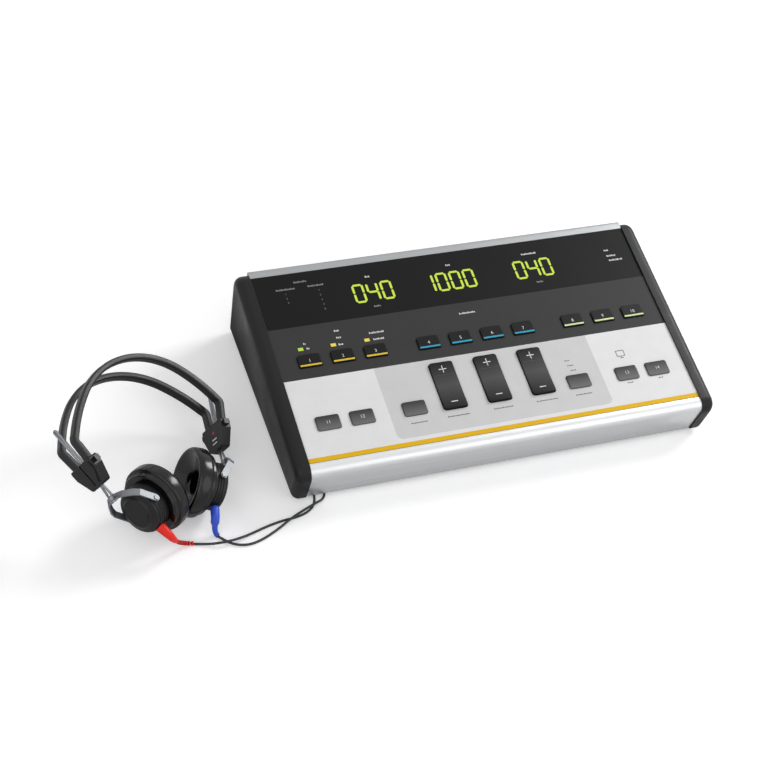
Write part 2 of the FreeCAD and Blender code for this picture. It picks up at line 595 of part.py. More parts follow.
def cheek(side):
    """Moulded end cheek: hollow, with pegs for the profile channels and tabs on the base."""
    body = cheek_block(side, 0, CHEEK_THICKNESS, CHEEK_EDGE_RADIUS)
    hollow = cheek_block(side, CHEEK_WALL, CHEEK_THICKNESS - CHEEK_WALL, CHEEK_EDGE_RADIUS - CHEEK_WALL)
    body = body.cut(hollow)
    depth = CHEEK_THICKNESS - CHEEK_SKIN
    outer_x = side * (HALF_WIDTH - CHEEK_SKIN)
    inwards = Vector(-side, 0, 0)
    added = []
    for centre in (FRONT_CHANNEL, REAR_CHANNEL):
        start = Vector(outer_x, centre.y, centre.z)
        added.append(Part.makeCylinder(PEG_RADIUS + PEG_BOSS_WALL, depth, start, inwards))
        added.append(Part.makeCylinder(PEG_RADIUS, depth + PEG_LENGTH, start, inwards))
    for y in CHEEK_TAB_Y:
        low_x, high_x = sorted_pair(side * (INNER_X - CHEEK_TAB[0]), outer_x)
        tab = box(Vector(low_x, y - CHEEK_TAB[1] / 2, FLOOR_PLATE_TOP),
                  Vector(high_x, y + CHEEK_TAB[1] / 2, FLOOR_PLATE_TOP + CHEEK_TAB[2]))
        hole = Vector(side * (INNER_X - CHEEK_TAB[0] / 2), y, BASE_Z + 1)
        added.append(tab.cut(Part.makeCylinder(BOSS_HOLE, 6, hole)))
    for y in CHEEK_RIB_Y:
        low_x, high_x = sorted_pair(side * INNER_X, outer_x)
        added.append(box(Vector(low_x, y - 1, BASE_Z + 2), Vector(high_x, y + 1, rib_top(y))))
    return fuse([body] + added)


def sorted_pair(a, b):
    """The two numbers in rising order."""
    return (a, b) if a < b else (b, a)


def rib_top(y):
    """Height at which a stiffening rib meets the cheek's upper wall."""
    return panel_point(0, (PANEL_REAR_Y - y) / math.cos(math.radians(PANEL_SLOPE))).z - CHEEK_WALL / 2


# ================================================================ panel, keys and boards
def key_list():
    """Every push key: node name, u, v, size and corner radii (front pair, rear pair)."""
    keys = []
    for group, middle_u, letters in (("left", LEFT_GROUP_U, "abc"), ("middle", MIDDLE_GROUP_U, "abcd"),
                                     ("right", RIGHT_GROUP_U, "abc")):
        for column, letter in enumerate(letters):
            u = middle_u + (column - (len(letters) - 1) / 2) * KEY_PITCH
            keys.append(("key_" + group + "_" + letter, u, UPPER_KEY_V, UPPER_KEY, UPPER_KEY_CORNERS))
    for letter, u in zip("abcdef", LOWER_KEY_U):
        keys.append(("key_lower_" + letter, u, LOWER_KEY_V, LOWER_KEY, LOWER_KEY_CORNERS))
    return keys


def corner_radii(pair, extra=0.0):
    """Corner radii of a key outline, front pair first, grown by a clearance."""
    front, rear = pair
    return (front + extra, front + extra, rear + extra, rear + extra)


def openings(z_low, z_high):
    """Solids that cut the key and rocker openings, in the panel's frame."""
    cutters = []
    for _, u, v, size, radii in key_list():
        cutters.append(rounded_block(size[0] + 2 * KEY_GAP, size[1] + 2 * KEY_GAP,
                                     corner_radii(radii, KEY_GAP), z_low, z_high, Vector(u, -v, 0)))
    for u in ROCKER_U:
        cutters.append(rounded_block(ROCKER_WIDTH + 2 * ROCKER_GAP, ROCKER_LENGTH + 2 * ROCKER_GAP,
                                     ROCKER_CORNER + ROCKER_GAP, z_low, z_high, Vector(u, -ROCKER_V, 0)))
    return cutters


def digit_places():
    """Centre u of every digit."""
    return [centre + (index - (count - 1) / 2) * DIGIT_PITCH
            for centre, count in zip(DISPLAY_U, DIGIT_COUNTS) for index in range(count)]


def top_panel():
    """Steel top panel on the ledges, with studs for the keypad board and ears for the rockers."""
    sheet = box(Vector(-INNER_X, -PANEL_FRONT_V, -SHEET), Vector(INNER_X, -PANEL_REAR_V, 0))
    added = [Part.makeCylinder(STUD_RADIUS, BOARD_DEPTH - SHEET + 0.5, Vector(u, -v, -BOARD_DEPTH))
             for u, v in STUDS]
    ear_bottom = -ROCKER_PIVOT_DEPTH - ROCKER_PIN_RADIUS - 2
    for u in ROCKER_U:
        for side in (-1, 1):
            middle = Vector(u + side * (EAR_OFFSET + EAR_THICKNESS / 2), -ROCKER_V, 0)
            added.append(centred_box(middle, EAR_THICKNESS, EAR_LENGTH, ear_bottom, -SHEET + 0.5))
    body = fuse([sheet] + added)
    cutters = openings(-SHEET - 0.01, 1)
    for centre, count in zip(DISPLAY_U, DIGIT_COUNTS):
        width = count * DIGIT_PITCH + 2 * WINDOW_GAP
        cutters.append(rounded_block(width, DIGIT_SIZE[1] + 2 * WINDOW_GAP, 1.0, -SHEET - 1, 1,
                                     Vector(centre, -DISPLAY_V, 0)))
    for u, v in LED_PLACES:
        cutters.append(centred_box(Vector(u, -v, 0), LED_SIZE[0] + 2 * WINDOW_GAP,
                                   LED_SIZE[1] + 2 * WINDOW_GAP, -SHEET - 1, 1))
    for u in ROCKER_U:
        start = Vector(u - ROCKER_WIDTH, -ROCKER_V, -ROCKER_PIVOT_DEPTH)
        cutters.append(Part.makeCylinder(ROCKER_PIN_RADIUS + PIN_CLEARANCE, 2 * ROCKER_WIDTH, start, ALONG_X))
    return placed(body.cut(cutters), PANEL)


def overlay():
    """Printed film over the whole panel, clear at the digits and open at the keys."""
    sheet = box(Vector(-INNER_X, -PANEL_FRONT_V, 0), Vector(INNER_X, -PANEL_REAR_V, OVERLAY_THICKNESS))
    return placed(sheet.cut(openings(-1, 1)), PANEL)


def push_key(u, v, size, radii):
    """Key cap with a retaining flange under the panel and a stem over its switch."""
    centre = Vector(u, -v, 0)
    flange_top = -SHEET - KEY_GAP
    cap = rounded_block(size[0], size[1], corner_radii(radii), flange_top - 0.5, KEY_PROUD, centre)
    top_edges = [edge for edge in cap.Edges if edge.BoundBox.ZMin > KEY_PROUD - 0.01]
    cap = cap.makeFillet(KEY_EDGE_RADIUS, top_edges)
    flange = rounded_block(size[0] + 2 * KEY_FLANGE, size[1] + 2 * KEY_FLANGE, 1.5,
                           flange_top - KEY_FLANGE_THICKNESS, flange_top, centre)
    stem_bottom = SWITCH_TOP + PLUNGER_HEIGHT + KEY_TRAVEL + KEY_GAP
    stem = Part.makeCylinder(KEY_STEM_RADIUS, flange_top - stem_bottom, Vector(u, -v, stem_bottom))
    return placed(fuse([cap, flange, stem]), PANEL)


def rocker(u):
    """Rocker key: dished top, skirt, two pusher feet and a cross pin in the panel's ears."""
    half_width, half_length = ROCKER_WIDTH / 2, ROCKER_LENGTH / 2
    skirt = -SHEET + 0.4
    block = rounded_block(ROCKER_WIDTH, ROCKER_LENGTH, ROCKER_CORNER, skirt, ROCKER_PROUD,
                          Vector(u, -ROCKER_V, 0))
    dish_radius = (half_length ** 2 + ROCKER_DISH ** 2) / (2 * ROCKER_DISH)
    dish_axis = Vector(u - ROCKER_WIDTH, -ROCKER_V, ROCKER_PROUD - ROCKER_DISH + dish_radius)
    block = block.cut(Part.makeCylinder(dish_radius, 2 * ROCKER_WIDTH, dish_axis, ALONG_X))
    crown = [edge for edge in block.Edges if edge.BoundBox.ZMin > ROCKER_PROUD - ROCKER_DISH - 0.05]
    block = block.makeFillet(0.5, crown)
    pivot = Vector(u, -ROCKER_V, -ROCKER_PIVOT_DEPTH)
    hub = Part.makeCylinder(ROCKER_PIN_RADIUS + ROCKER_HUB_WALL, ROCKER_WIDTH - 2,
                            pivot - Vector(half_width - 1, 0, 0), ALONG_X)
    web = centred_box(Vector(u, -ROCKER_V, 0), ROCKER_WIDTH - 2, 4, -ROCKER_PIVOT_DEPTH, skirt + 0.5)
    pin_half = EAR_OFFSET + EAR_THICKNESS
    pin = Part.makeCylinder(ROCKER_PIN_RADIUS, 2 * pin_half, pivot - Vector(pin_half, 0, 0), ALONG_X)
    drop = ROCKER_PUSH_V * math.sin(math.radians(ROCKER_TILT))
    foot_bottom = SWITCH_TOP + PLUNGER_HEIGHT + drop + 2 * KEY_GAP
    pushers = [Part.makeCylinder(KEY_STEM_RADIUS, skirt + 0.5 - foot_bottom,
                                 Vector(u, end * ROCKER_PUSH_V - ROCKER_V, foot_bottom)) for end in (-1, 1)]
    return placed(fuse([block, web, hub, pin] + pushers), PANEL)


def keypad_board():
    """Circuit board under the panel, carried by the studs."""
    board = box(Vector(-INNER_X + 3, -PANEL_FRONT_V + 10, -BOARD_DEPTH - BOARD_THICKNESS),
                Vector(INNER_X - 3, -PANEL_REAR_V - 3, -BOARD_DEPTH))
    return placed(board, PANEL)


def tact_switches():
    """Small switches under every key and under both ends of every rocker."""
    places = [(u, v) for _, u, v, _, _ in key_list()]
    places += [(u, ROCKER_V + end * ROCKER_PUSH_V) for u in ROCKER_U for end in (-1, 1)]
    shapes = []
    for u, v in places:
        body = centred_box(Vector(u, -v, 0), SWITCH_SIZE, SWITCH_SIZE, -BOARD_DEPTH, SWITCH_TOP)
        plunger = Part.makeCylinder(PLUNGER_RADIUS, PLUNGER_HEIGHT, Vector(u, -v, SWITCH_TOP))
        shapes.append(placed(body.fuse(plunger), PANEL))
    return Part.makeCompound(shapes)


def panel_boxes(places, size):
    """Blocks of one size at (u, v) places, from the keypad board to just under the overlay."""
    return Part.makeCompound([
        placed(centred_box(Vector(u, -v, 0), size[0], size[1], -BOARD_DEPTH, -WINDOW_GAP), PANEL)
        for u, v in places])


def display_modules():
    """One digit module behind each place of the three windows, standing on the keypad board."""
    return panel_boxes([(u, DISPLAY_V) for u in digit_places()], DIGIT_SIZE)


def status_leds():
    """Bar lamps above the left group of keys, on the keypad board."""
    return panel_boxes(LED_PLACES, LED_SIZE)


def main_board():
    """Main circuit board on the base's spacers, with its largest components."""
    low_z = FLOOR_PLATE_TOP + SPACER_HEIGHT
    top_z = low_z + BOARD_THICKNESS
    centre = Vector(0, MAIN_BOARD_Y, 0)
    board = centred_box(centre, MAIN_BOARD[0], MAIN_BOARD[1], low_z, top_z)
    parts = [board]
    radius, height, pitch = CAPACITOR
    for index in range(3):
        parts.append(Part.makeCylinder(radius, height, Vector(70 + index * pitch, MAIN_BOARD_Y - 45, top_z)))
    parts.append(centred_box(Vector(-40, MAIN_BOARD_Y, 0), 26, 26, top_z, top_z + 3))
    parts.append(centred_box(Vector(20, MAIN_BOARD_Y + 20, 0), 34, 16, top_z, top_z + 9))
    return fuse(parts)


# ================================================================ rear sockets and switch
def jack_socket(x):
    """Panel jack socket: body inside, threaded neck through the panel and a round nut."""
    body = socket_box(x, JACK_BODY, REAR_INNER_Y - JACK_DEPTH, REAR_INNER_Y)
    neck = socket_bar(x, JACK_NECK, REAR_INNER_Y, JACK_MOUTH_Y)
    nut = socket_bar(x, JACK_NUT[0], REAR_FACE_Y, REAR_FACE_Y + JACK_NUT[1])
    bore = socket_bar(x, JACK_BORE, JACK_MOUTH_Y - JACK_DEPTH - 2, JACK_MOUTH_Y)
    return fuse([body, neck, nut]).cut(bore)


def rear_sockets():
    """Six jack sockets, the data socket and the power inlet."""
    usb = socket_box(USB_X, USB_SIZE, REAR_INNER_Y - USB_DEPTH, REAR_FACE_Y + 0.6)
    usb = usb.cut(socket_box(USB_X, USB_OPENING, REAR_INNER_Y - USB_DEPTH + 4, REAR_FACE_Y + 2))
    inlet = fuse([socket_box(INLET_X, INLET_BODY, REAR_INNER_Y - INLET_DEPTH, REAR_INNER_Y),
                  socket_bar(INLET_X, JACK_NECK, REAR_INNER_Y, REAR_FACE_Y + 1)])
    inlet = inlet.cut(socket_bar(INLET_X, INLET_BORE, REAR_FACE_Y - 11, REAR_FACE_Y + 1))
    inlet = inlet.fuse(socket_bar(INLET_X, INLET_PIN, REAR_FACE_Y - 12, REAR_FACE_Y - 1))
    return Part.makeCompound([jack_socket(x) for x in JACK_X] + [usb, inlet])


def power_switch_frame():
    """Switch housing through the rear panel with a bezel outside."""
    body = socket_box(SWITCH_X, SWITCH_BODY, REAR_INNER_Y - SWITCH_DEPTH, REAR_FACE_Y)
    bezel = socket_box(SWITCH_X, SWITCH_FRAME, REAR_FACE_Y, REAR_FACE_Y + 2)
    opening = (SWITCH_LEVER[0] + 2 * LEVER_GAP[0], SWITCH_LEVER[1] + 2 * LEVER_GAP[1])
    cell = socket_box(SWITCH_X, opening, REAR_INNER_Y - SWITCH_DEPTH + 4, REAR_FACE_Y + 3)
    hole = Part.makeCylinder(SWITCH_PIN + PIN_CLEARANCE, SWITCH_BODY[1] - 1,
                             SWITCH_PIVOT - UP * ((SWITCH_BODY[1] - 1) / 2))
    return body.fuse(bezel).removeSplitter().cut(cell).cut(hole)


def power_switch():
    """Rocker of the power switch, resting with its one side pressed."""
    half_x, half_z = SWITCH_LEVER[0] / 2, SWITCH_LEVER[1] / 2
    outline = ((1.0 - half_x, -4.0), (half_x - 1.0, -4.0), (half_x - 0.6, 6.2), (0.0, 4.8), (0.6 - half_x, 6.2))
    corners = [SWITCH_PIVOT + Vector(x, y, -half_z) for x, y in outline]
    block = prism(corners, (1, 1, 0.6, 20, 0.6), Vector(0, 0, 2 * half_z))
    pin_half = SWITCH_BODY[1] / 2 - 0.7
    pin = Part.makeCylinder(SWITCH_PIN, 2 * pin_half, SWITCH_PIVOT - UP * pin_half)
    lever = block.fuse(pin).removeSplitter()
    lever.rotate(SWITCH_PIVOT, UP, SWITCH_THROW)
    return lever


# ================================================================ headset frame
def knee_point():
    """Half width and height of the crown arc's lower end, from the crown centre."""
    first, last = math.radians(CROWN_HALF_ANGLE), math.radians(SIDE_END_ANGLE)
    x = (CROWN_RADIUS - SIDE_RADIUS) * math.sin(first) + SIDE_RADIUS * math.sin(last)
    z = (CROWN_RADIUS - SIDE_RADIUS) * math.cos(first) + SIDE_RADIUS * math.cos(last)
    return x, z


KNEE_X, KNEE_DROP = knee_point()
YOKE_CRANK = (KNEE_X - EAR_SPREAD) / math.cos(LEAN)      # from the rod towards the ear
LEG_FOOT = Vector(KNEE_X - LEG_LENGTH * math.sin(LEAN), 0, -LEG_LENGTH * math.cos(LEAN))


def side_frame(side):
    """Frame at the foot of a leg: X towards the ear, Y to the rear band, Z up the leg."""
    sign = -1 if side == "left" else 1
    inward = Vector(-sign * math.cos(LEAN), 0, math.sin(LEAN))
    upward = Vector(sign * math.sin(LEAN), 0, math.cos(LEAN))
    rear = upward.cross(inward)
    foot = Vector(sign * LEG_FOOT.x, 0, LEG_FOOT.z)
    return frame_placement(foot, inward, rear, upward)


def frame_placement(origin, x_axis, y_axis, z_axis):
    """Placement with the given axes."""
    matrix = Matrix(x_axis.x, y_axis.x, z_axis.x, origin.x,
                    x_axis.y, y_axis.y, z_axis.y, origin.y,
                    x_axis.z, y_axis.z, z_axis.z, origin.z,
                    0, 0, 0, 1)
    return Placement(matrix)


def band_path():
    """Bend line of a band: crown arc, two side arcs, two knees and two straight legs."""
    first, last = math.radians(CROWN_HALF_ANGLE), math.radians(SIDE_END_ANGLE)

    def on_crown(angle):
        return Vector(CROWN_RADIUS * math.sin(angle), 0, CROWN_RADIUS * math.cos(angle) - KNEE_DROP)

    def on_side(angle, sign):
        x = (CROWN_RADIUS - SIDE_RADIUS) * math.sin(first) + SIDE_RADIUS * math.sin(angle)
        z = (CROWN_RADIUS - SIDE_RADIUS) * math.cos(first) + SIDE_RADIUS * math.cos(angle)
        return Vector(sign * x, 0, z - KNEE_DROP)

    leg_end = LEG_LENGTH + BAND_SEAT
    end = Vector(KNEE_X - leg_end * math.sin(LEAN), 0, -leg_end * math.cos(LEAN))
    # the knee's round joins the side arc's tangent to the leg
    tangent_in = Vector(math.cos(last), 0, -math.sin(last))
    tangent_out = Vector(-math.sin(LEAN), 0, -math.cos(LEAN))
    deflection = tangent_in.getAngle(tangent_out)
    reach = KNEE_RADIUS * math.tan(deflection / 2)
    cut_angle = last - reach / SIDE_RADIUS
    before = on_side(cut_angle, 1)
    after = Vector(KNEE_X, 0, 0) + tangent_out * reach
    inwards = (tangent_out - tangent_in).normalize()
    middle = Vector(KNEE_X, 0, 0) + inwards * (KNEE_RADIUS / math.cos(deflection / 2) - KNEE_RADIUS)

    def mirrored(point):
        return Vector(-point.x, point.y, point.z)

    half_side = (first + cut_angle) / 2
    return [
        Part.LineSegment(mirrored(end), mirrored(after)).toShape(),
        Part.Arc(mirrored(after), mirrored(middle), mirrored(before)).toShape(),
        Part.Arc(mirrored(before), on_side(half_side, -1), on_crown(-first)).toShape(),
        Part.Arc(on_crown(-first), on_crown(0), on_crown(first)).toShape(),
        Part.Arc(on_crown(first), on_side(half_side, 1), before).toShape(),
        Part.Arc(before, middle, after).toShape(),
        Part.LineSegment(after, end).toShape()]


def band(sign, grow=0.0):
    """One headband strip: rounded flat section along the band's bend line."""
    path = Part.Wire(band_path())
    start = min((v.Point for v in path.Vertexes), key=lambda p: (p.z, p.x))
    width, thickness = BAND_WIDTH + 2 * grow, BAND_THICKNESS + 2 * grow
    outward = Vector(-math.cos(LEAN), 0, math.sin(LEAN))
    across = Vector(0, 1, 0)
    corners = [start + outward * (a * thickness / 2) + across * (b * width / 2)
               for a, b in ((-1, -1), (1, -1), (1, 1), (-1, 1))]
    profile = rounded_wire(corners, [BAND_CORNER + grow] * 4)
    strip = path.makePipeShell([profile], True, False)
    fan = Placement(Vector(0, sign * BAND_OFFSET, 0), Rotation())
    swing = Placement(Vector(0, 0, LEG_FOOT.z), Rotation(ALONG_X, -sign * BAND_FAN))
    back = Placement(Vector(0, 0, -LEG_FOOT.z), Rotation())
    return placed(strip, HEADSET.multiply(fan).multiply(swing).multiply(back))


def block(side):
    """Plastic block that joins the bands and guides the rod, with a raised outer plate and lugs."""
    top = BLOCK_TOP
    half_top, half_end, face_x = BLOCK_WIDTH / 2, BLOCK_END_WIDTH / 2, -BLOCK_THICKNESS / 2
    outline = ((-half_top, top), (half_top, top), (half_top, top - BLOCK_SHOULDER), (half_end, -BLOCK_LENGTH),
               (-half_end, -BLOCK_LENGTH), (-half_top, top - BLOCK_SHOULDER))
    corners = [Vector(face_x, y, z) for y, z in outline]
    body = prism(corners, (1.5, 1.5, 3, 3, 3, 3), Vector(BLOCK_THICKNESS, 0, 0))
    outer = [edge for edge in body.Edges if edge.BoundBox.XMax < face_x + 0.01]
    body = body.makeFillet(BLOCK_EDGE_RADIUS, outer)
    lugs = [centred_box(Vector(1.0, end * (half_top + LUG_SIZE[0] / 2 - 0.5), 0), 5.0, LUG_SIZE[0],
                        top - 2 - LUG_SIZE[1], top - 2) for end in (-1, 1)]
    plate_top, plate_end = top - 2.5, PLATE_MARGIN - BLOCK_LENGTH
    plate_outline = ((PLATE_MARGIN - half_top, plate_top), (-PLATE_SLOT, plate_top), (-PLATE_SLOT, plate_end),
                     (2.5 - half_end, plate_end), (PLATE_MARGIN - half_top, top - BLOCK_SHOULDER - 2))
    plate = prism([Vector(face_x - BLOCK_PLATE, y, z) for y, z in plate_outline], (1.5, 1, 1, 1.5, 2),
                  Vector(BLOCK_PLATE + 0.5, 0, 0))
    body = fuse([body, plate] + lugs)
    reach = WIRE_RADIUS + CHANNEL_GAP
    wires = [Part.makeCylinder(reach, BLOCK_LENGTH + 20, Vector(0, end * WIRE_SPREAD, -BLOCK_LENGTH - 5))
             for end in (-1, 1)]
    between = centred_box(Vector(), 2 * reach, 2 * WIRE_SPREAD, -BLOCK_LENGTH - 5, top + 5)
    window = box(Vector(-BLOCK_THICKNESS, -0.9, -BLOCK_LENGTH + 3), Vector(0, 0.9, top + 5))
    body = body.cut(wires + [between, window])
    body = placed(body, HEADSET.multiply(side_frame(side)))
    return body.cut([band(-1, SEAT_CLEARANCE), band(1, SEAT_CLEARANCE)])


def rod(side):
    """Hairpin rod of two chromed wires, forked below and holding the swivel hub."""
    top_z = ROD_ABOVE_BLOCK
    hub = hub_point(side)
    fork_z = -BLOCK_LENGTH - 1.5
    hub_low = hub - UP * (HUB_HEIGHT / 2)
    shapes = []
    for end in (-1, 1):
        upper = Vector(0, end * WIRE_SPREAD, top_z)
        lower = Vector(0, end * WIRE_SPREAD, fork_z)
        tip = hub + Vector(0, end * WIRE_FORK, 0)
        shapes += [rod_between(lower, upper, WIRE_RADIUS), rod_between(tip, lower, WIRE_RADIUS),
                   Part.makeSphere(WIRE_RADIUS, lower)]
    bend = Part.makeTorus(WIRE_SPREAD, WIRE_RADIUS, Vector(0, 0, top_z), ALONG_X)
    bend = bend.common(centred_box(Vector(), 10, 10, top_z, top_z + 10))
    disc = Part.makeCylinder(HUB_RADIUS, HUB_HEIGHT, hub_low)
    body = fuse(shapes + [bend, disc])
    body = body.cut(Part.makeCylinder(SWIVEL_PIN + SWIVEL_CLEARANCE, HUB_HEIGHT + 4, hub_low - UP * 2))
    return placed(body, HEADSET.multiply(side_frame(side)))


def hub_point(side):
    """Middle of the swivel hub in the frame of the leg's foot."""
    return Vector(HUB_SET[side][0], HUB_SET[side][1], -JOINT_BELOW_LEG[side])


def yoke_frame(side):
    """Frame at the swivel: Z up the rod, X towards the ear, turned by the resting swivel."""
    at_joint = Placement(hub_point(side), Rotation())
    turn = Placement(Vector(), Rotation(UP, -SWIVEL_REST[side]))
    return HEADSET.multiply(side_frame(side)).multiply(at_joint).multiply(turn)


def ear_frame(side):
    """Frame at the earphone's pivot: X along the ear axis, Y along the pivots."""
    at_pivot = Placement(Vector(YOKE_CRANK, 0, -YOKE_DROP), Rotation())
    tilt = Placement(Vector(), Rotation(ALONG_Y, TILT_REST[side]))
    return yoke_frame(side).multiply(at_pivot).multiply(tilt)


def yoke(side):
    """Flat strap yoke: swivel pin, gusset, two arms and the pivot rivets."""
    along = Vector(YOKE_CRANK, 0, -YOKE_DROP)
    length = along.Length
    tip = Vector(along).normalize()
    flat = Vector(0, 1, 0).cross(tip)
    plane = frame_placement(Vector(), tip, Vector(0, 1, 0), flat * -1)
    width, thick = YOKE_STRAP
    span = YOKE_HALF_SPAN
    outer = [(0.0, -3.4), (3.0, -12.0), (9.5, -span + 3.5), (14.5, -span), (length, -span)]
    inner = [(0.9 * thick, -3.4 + 0.5 * thick), (3.0 + 0.9 * thick, -12.0 + 0.5 * thick),
             (9.5 + 0.9 * thick, -span + 3.5 + thick), (14.5 + 0.54 * thick, -span + thick),
             (length, -span + thick)]
    shapes = []
    for sign in (-1, 1):
        corners = [Vector(x, sign * y, -width / 2) for x, y in outer + inner[::-1]]
        shapes.append(prism(corners, [0] * len(corners), Vector(0, 0, width)))
        arm_end, outwards = Vector(length, sign * span, 0), Vector(0, sign, 0)
        shapes.append(Part.makeCylinder(width / 2, thick, arm_end, outwards * -1))
        shapes.append(Part.makeCylinder(RIVET_HEAD[0], RIVET_HEAD[1], arm_end, outwards))
        shapes.append(Part.makeCylinder(PIVOT_PIN, span - PIVOT_PIN_REACH - 0.3, arm_end, outwards * -1))
    half_gusset = [(-2.6, -3.8), (3.6, -13.5), (4.6, -12.0), (2.6, 0)]
    outline = half_gusset + [(x, -y) for x, y in half_gusset[2::-1]]
    gusset = prism([Vector(x, y, -GUSSET_THICKNESS / 2) for x, y in outline], [0] * len(outline),
                   Vector(0, 0, GUSSET_THICKNESS))
    strap = placed(fuse(shapes + [gusset]), plane)
    collar_top = -HUB_HEIGHT / 2 - 0.5
    strap = strap.cut(Part.makeCylinder(HUB_RADIUS + 1.6, HUB_HEIGHT + 6.0, UP * collar_top))
    collar = Part.makeCylinder(HUB_RADIUS, COLLAR_HEIGHT, UP * (collar_top - COLLAR_HEIGHT))
    pin = Part.makeCylinder(SWIVEL_PIN, HUB_HEIGHT + 2.5, UP * (collar_top - 1.0))
    return placed(fuse([strap, collar, pin]), yoke_frame(side))


def housing(side):
    """Earphone housing: ribbed cylinder with pivot sockets and a seat for the cushion."""
    profile = [(HOUSING_BACK, 0), (HOUSING_BACK, HOUSING_RADIUS)]
    pitch = (HOUSING_FRONT - HOUSING_BACK - 4) / HOUSING_GROOVES
    floor = HOUSING_RADIUS - GROOVE_DEPTH
    for index in range(HOUSING_GROOVES):
        x = HOUSING_BACK + 2 + index * pitch
        profile += [(x, HOUSING_RADIUS), (x + 0.4, floor), (x + 1.1, floor), (x + 1.5, HOUSING_RADIUS)]
    profile += [(HOUSING_FRONT, HOUSING_RADIUS), (HOUSING_FRONT, EAR_BORE + 6),
                (HOUSING_FRONT + 1.2, EAR_BORE + 5), (HOUSING_FRONT + 1.2, 0)]
    body = revolve(profile)
    for sign in (-1, 1):
        socket = Part.makeCylinder(PIVOT_PIN + PIN_CLEARANCE, PIVOT_DEPTH + 1,
                                   Vector(0, sign * (HOUSING_RADIUS + 1), 0), Vector(0, -sign, 0))
        body = body.cut(socket)
    return placed(body, ear_frame(side))


def cap(side):
    """Rear cap of an earphone: bevelled dish with three small vents."""
    profile = [(CAP_BACK, 0), (CAP_BACK, CAP_RADIUS - 0.8), (CAP_BACK + 0.8, CAP_RADIUS),
               (HOUSING_BACK - 2.2, HOUSING_RADIUS - 1.2), (HOUSING_BACK, HOUSING_RADIUS - 0.6),
               (HOUSING_BACK, 0)]
    body = revolve(profile)
    for step in (-1, 0, 1):
        angle = math.radians(VENT_ANGLE + VENT_STEP * step)
        centre = Vector(CAP_BACK, VENT_RING * math.sin(angle), -VENT_RING * math.cos(angle))
        body = body.cut(box(centre - Vector(0.5, 0.5, 1.3), centre + Vector(1.2, 0.5, 1.3)))
    return placed(body, ear_frame(side))


def cushion(side):
    """Rubber ear cushion: stepped skirt, rounded rim and a funnel to the ear bore."""
    back = HOUSING_FRONT + CUSHION_GAP
    rim = CUSHION_RADIUS
    profile = [(back, EAR_BORE + 7), (back, CUSHION_STEP_RADIUS - 1.2), (back + 1.2, CUSHION_STEP_RADIUS),
               (CUSHION_STEP, CUSHION_STEP_RADIUS), (CUSHION_STEP, rim - 2.0), (CUSHION_STEP + 2.0, rim),
               (CUSHION_FRONT - 3.0, rim), (CUSHION_FRONT - 0.9, rim - 1.2), (CUSHION_FRONT, rim - 3.4),
               (CUSHION_FRONT - 0.3, EAR_RIM), (CUSHION_FRONT - 7.0, EAR_BORE + 1.5),
               (CUSHION_FRONT - 9.0, EAR_BORE), (back + 1.8, EAR_BORE), (back + 1.8, EAR_BORE + 7)]
    return placed(revolve(profile), ear_frame(side))


# ================================================================ plugs and leads
def floor_point(plan):
    """Centre of the lead at a route point; raised points go over the other lead."""
    x, y, raised = plan
    return Vector(x, y, CROSSING_LEVEL if raised else FLOOR_LEVEL)


def plug_seat(side):
    """Place on the housing where the plug enters, and its outward direction."""
    along, angle = PLUG_AT[side]
    angle = math.radians(angle)
    radial = Vector(0, math.sin(angle), -math.cos(angle))
    frame = ear_frame(side)
    seat = frame.multVec(Vector(along, 0, 0) + radial * (HOUSING_RADIUS - 0.2))
    return seat, frame.Rotation.multVec(radial)


def bezier(points, t):
    """Point of a cubic curve."""
    a, b, c, d = points
    s = 1 - t
    return a * (s ** 3) + b * (3 * s * s * t) + c * (3 * s * t * t) + d * (t ** 3)


def plug(side):
    """Moulded lead plug: a stout body in the housing and a tapering boot down to the lead."""
    seat, outward = plug_seat(side)
    route = LEFT_ROUTE if side == "left" else RIGHT_ROUTE
    end = floor_point(route[0]) + Vector(0, 0, BOOT_TIP - LEAD_RADIUS)
    ahead = (floor_point(route[1]) - floor_point(route[0])).normalize()
    shoulder = seat + outward * PLUG_BODY[side]
    reach = (end - shoulder).Length
    first, last = BOOT_PULL[side]
    curve = [shoulder, shoulder + outward * (reach * first), end - ahead * (reach * last), end]
    wide = PLUG_WIDTH[side]
    neck = wide * 0.8
    stations = [seat, seat + outward * (PLUG_BODY[side] * 0.5)]
    radii = [wide, wide * 0.96]
    for step in range(BOOT_STEPS + 1):
        share = step / BOOT_STEPS
        stations.append(bezier(curve, share))
        radii.append(neck + (BOOT_TIP - neck) * share)
    wires = []
    for index, centre in enumerate(stations):
        before = stations[max(0, index - 1)]
        after = stations[min(len(stations) - 1, index + 1)]
        normal = after - before
        if index < 3:
            normal = outward
        elif index == len(stations) - 1:
            normal = ahead
        wires.append(Part.Wire(Part.makeCircle(radii[index], centre, normal)))
    body = Part.makeLoft(wires, True, False)
    drum = Part.makeCylinder(HOUSING_RADIUS, HOUSING_FRONT - HOUSING_BACK, ALONG_X * HOUSING_BACK, ALONG_X)
    return body.cut([placed(drum, ear_frame(side)), cap(side)])


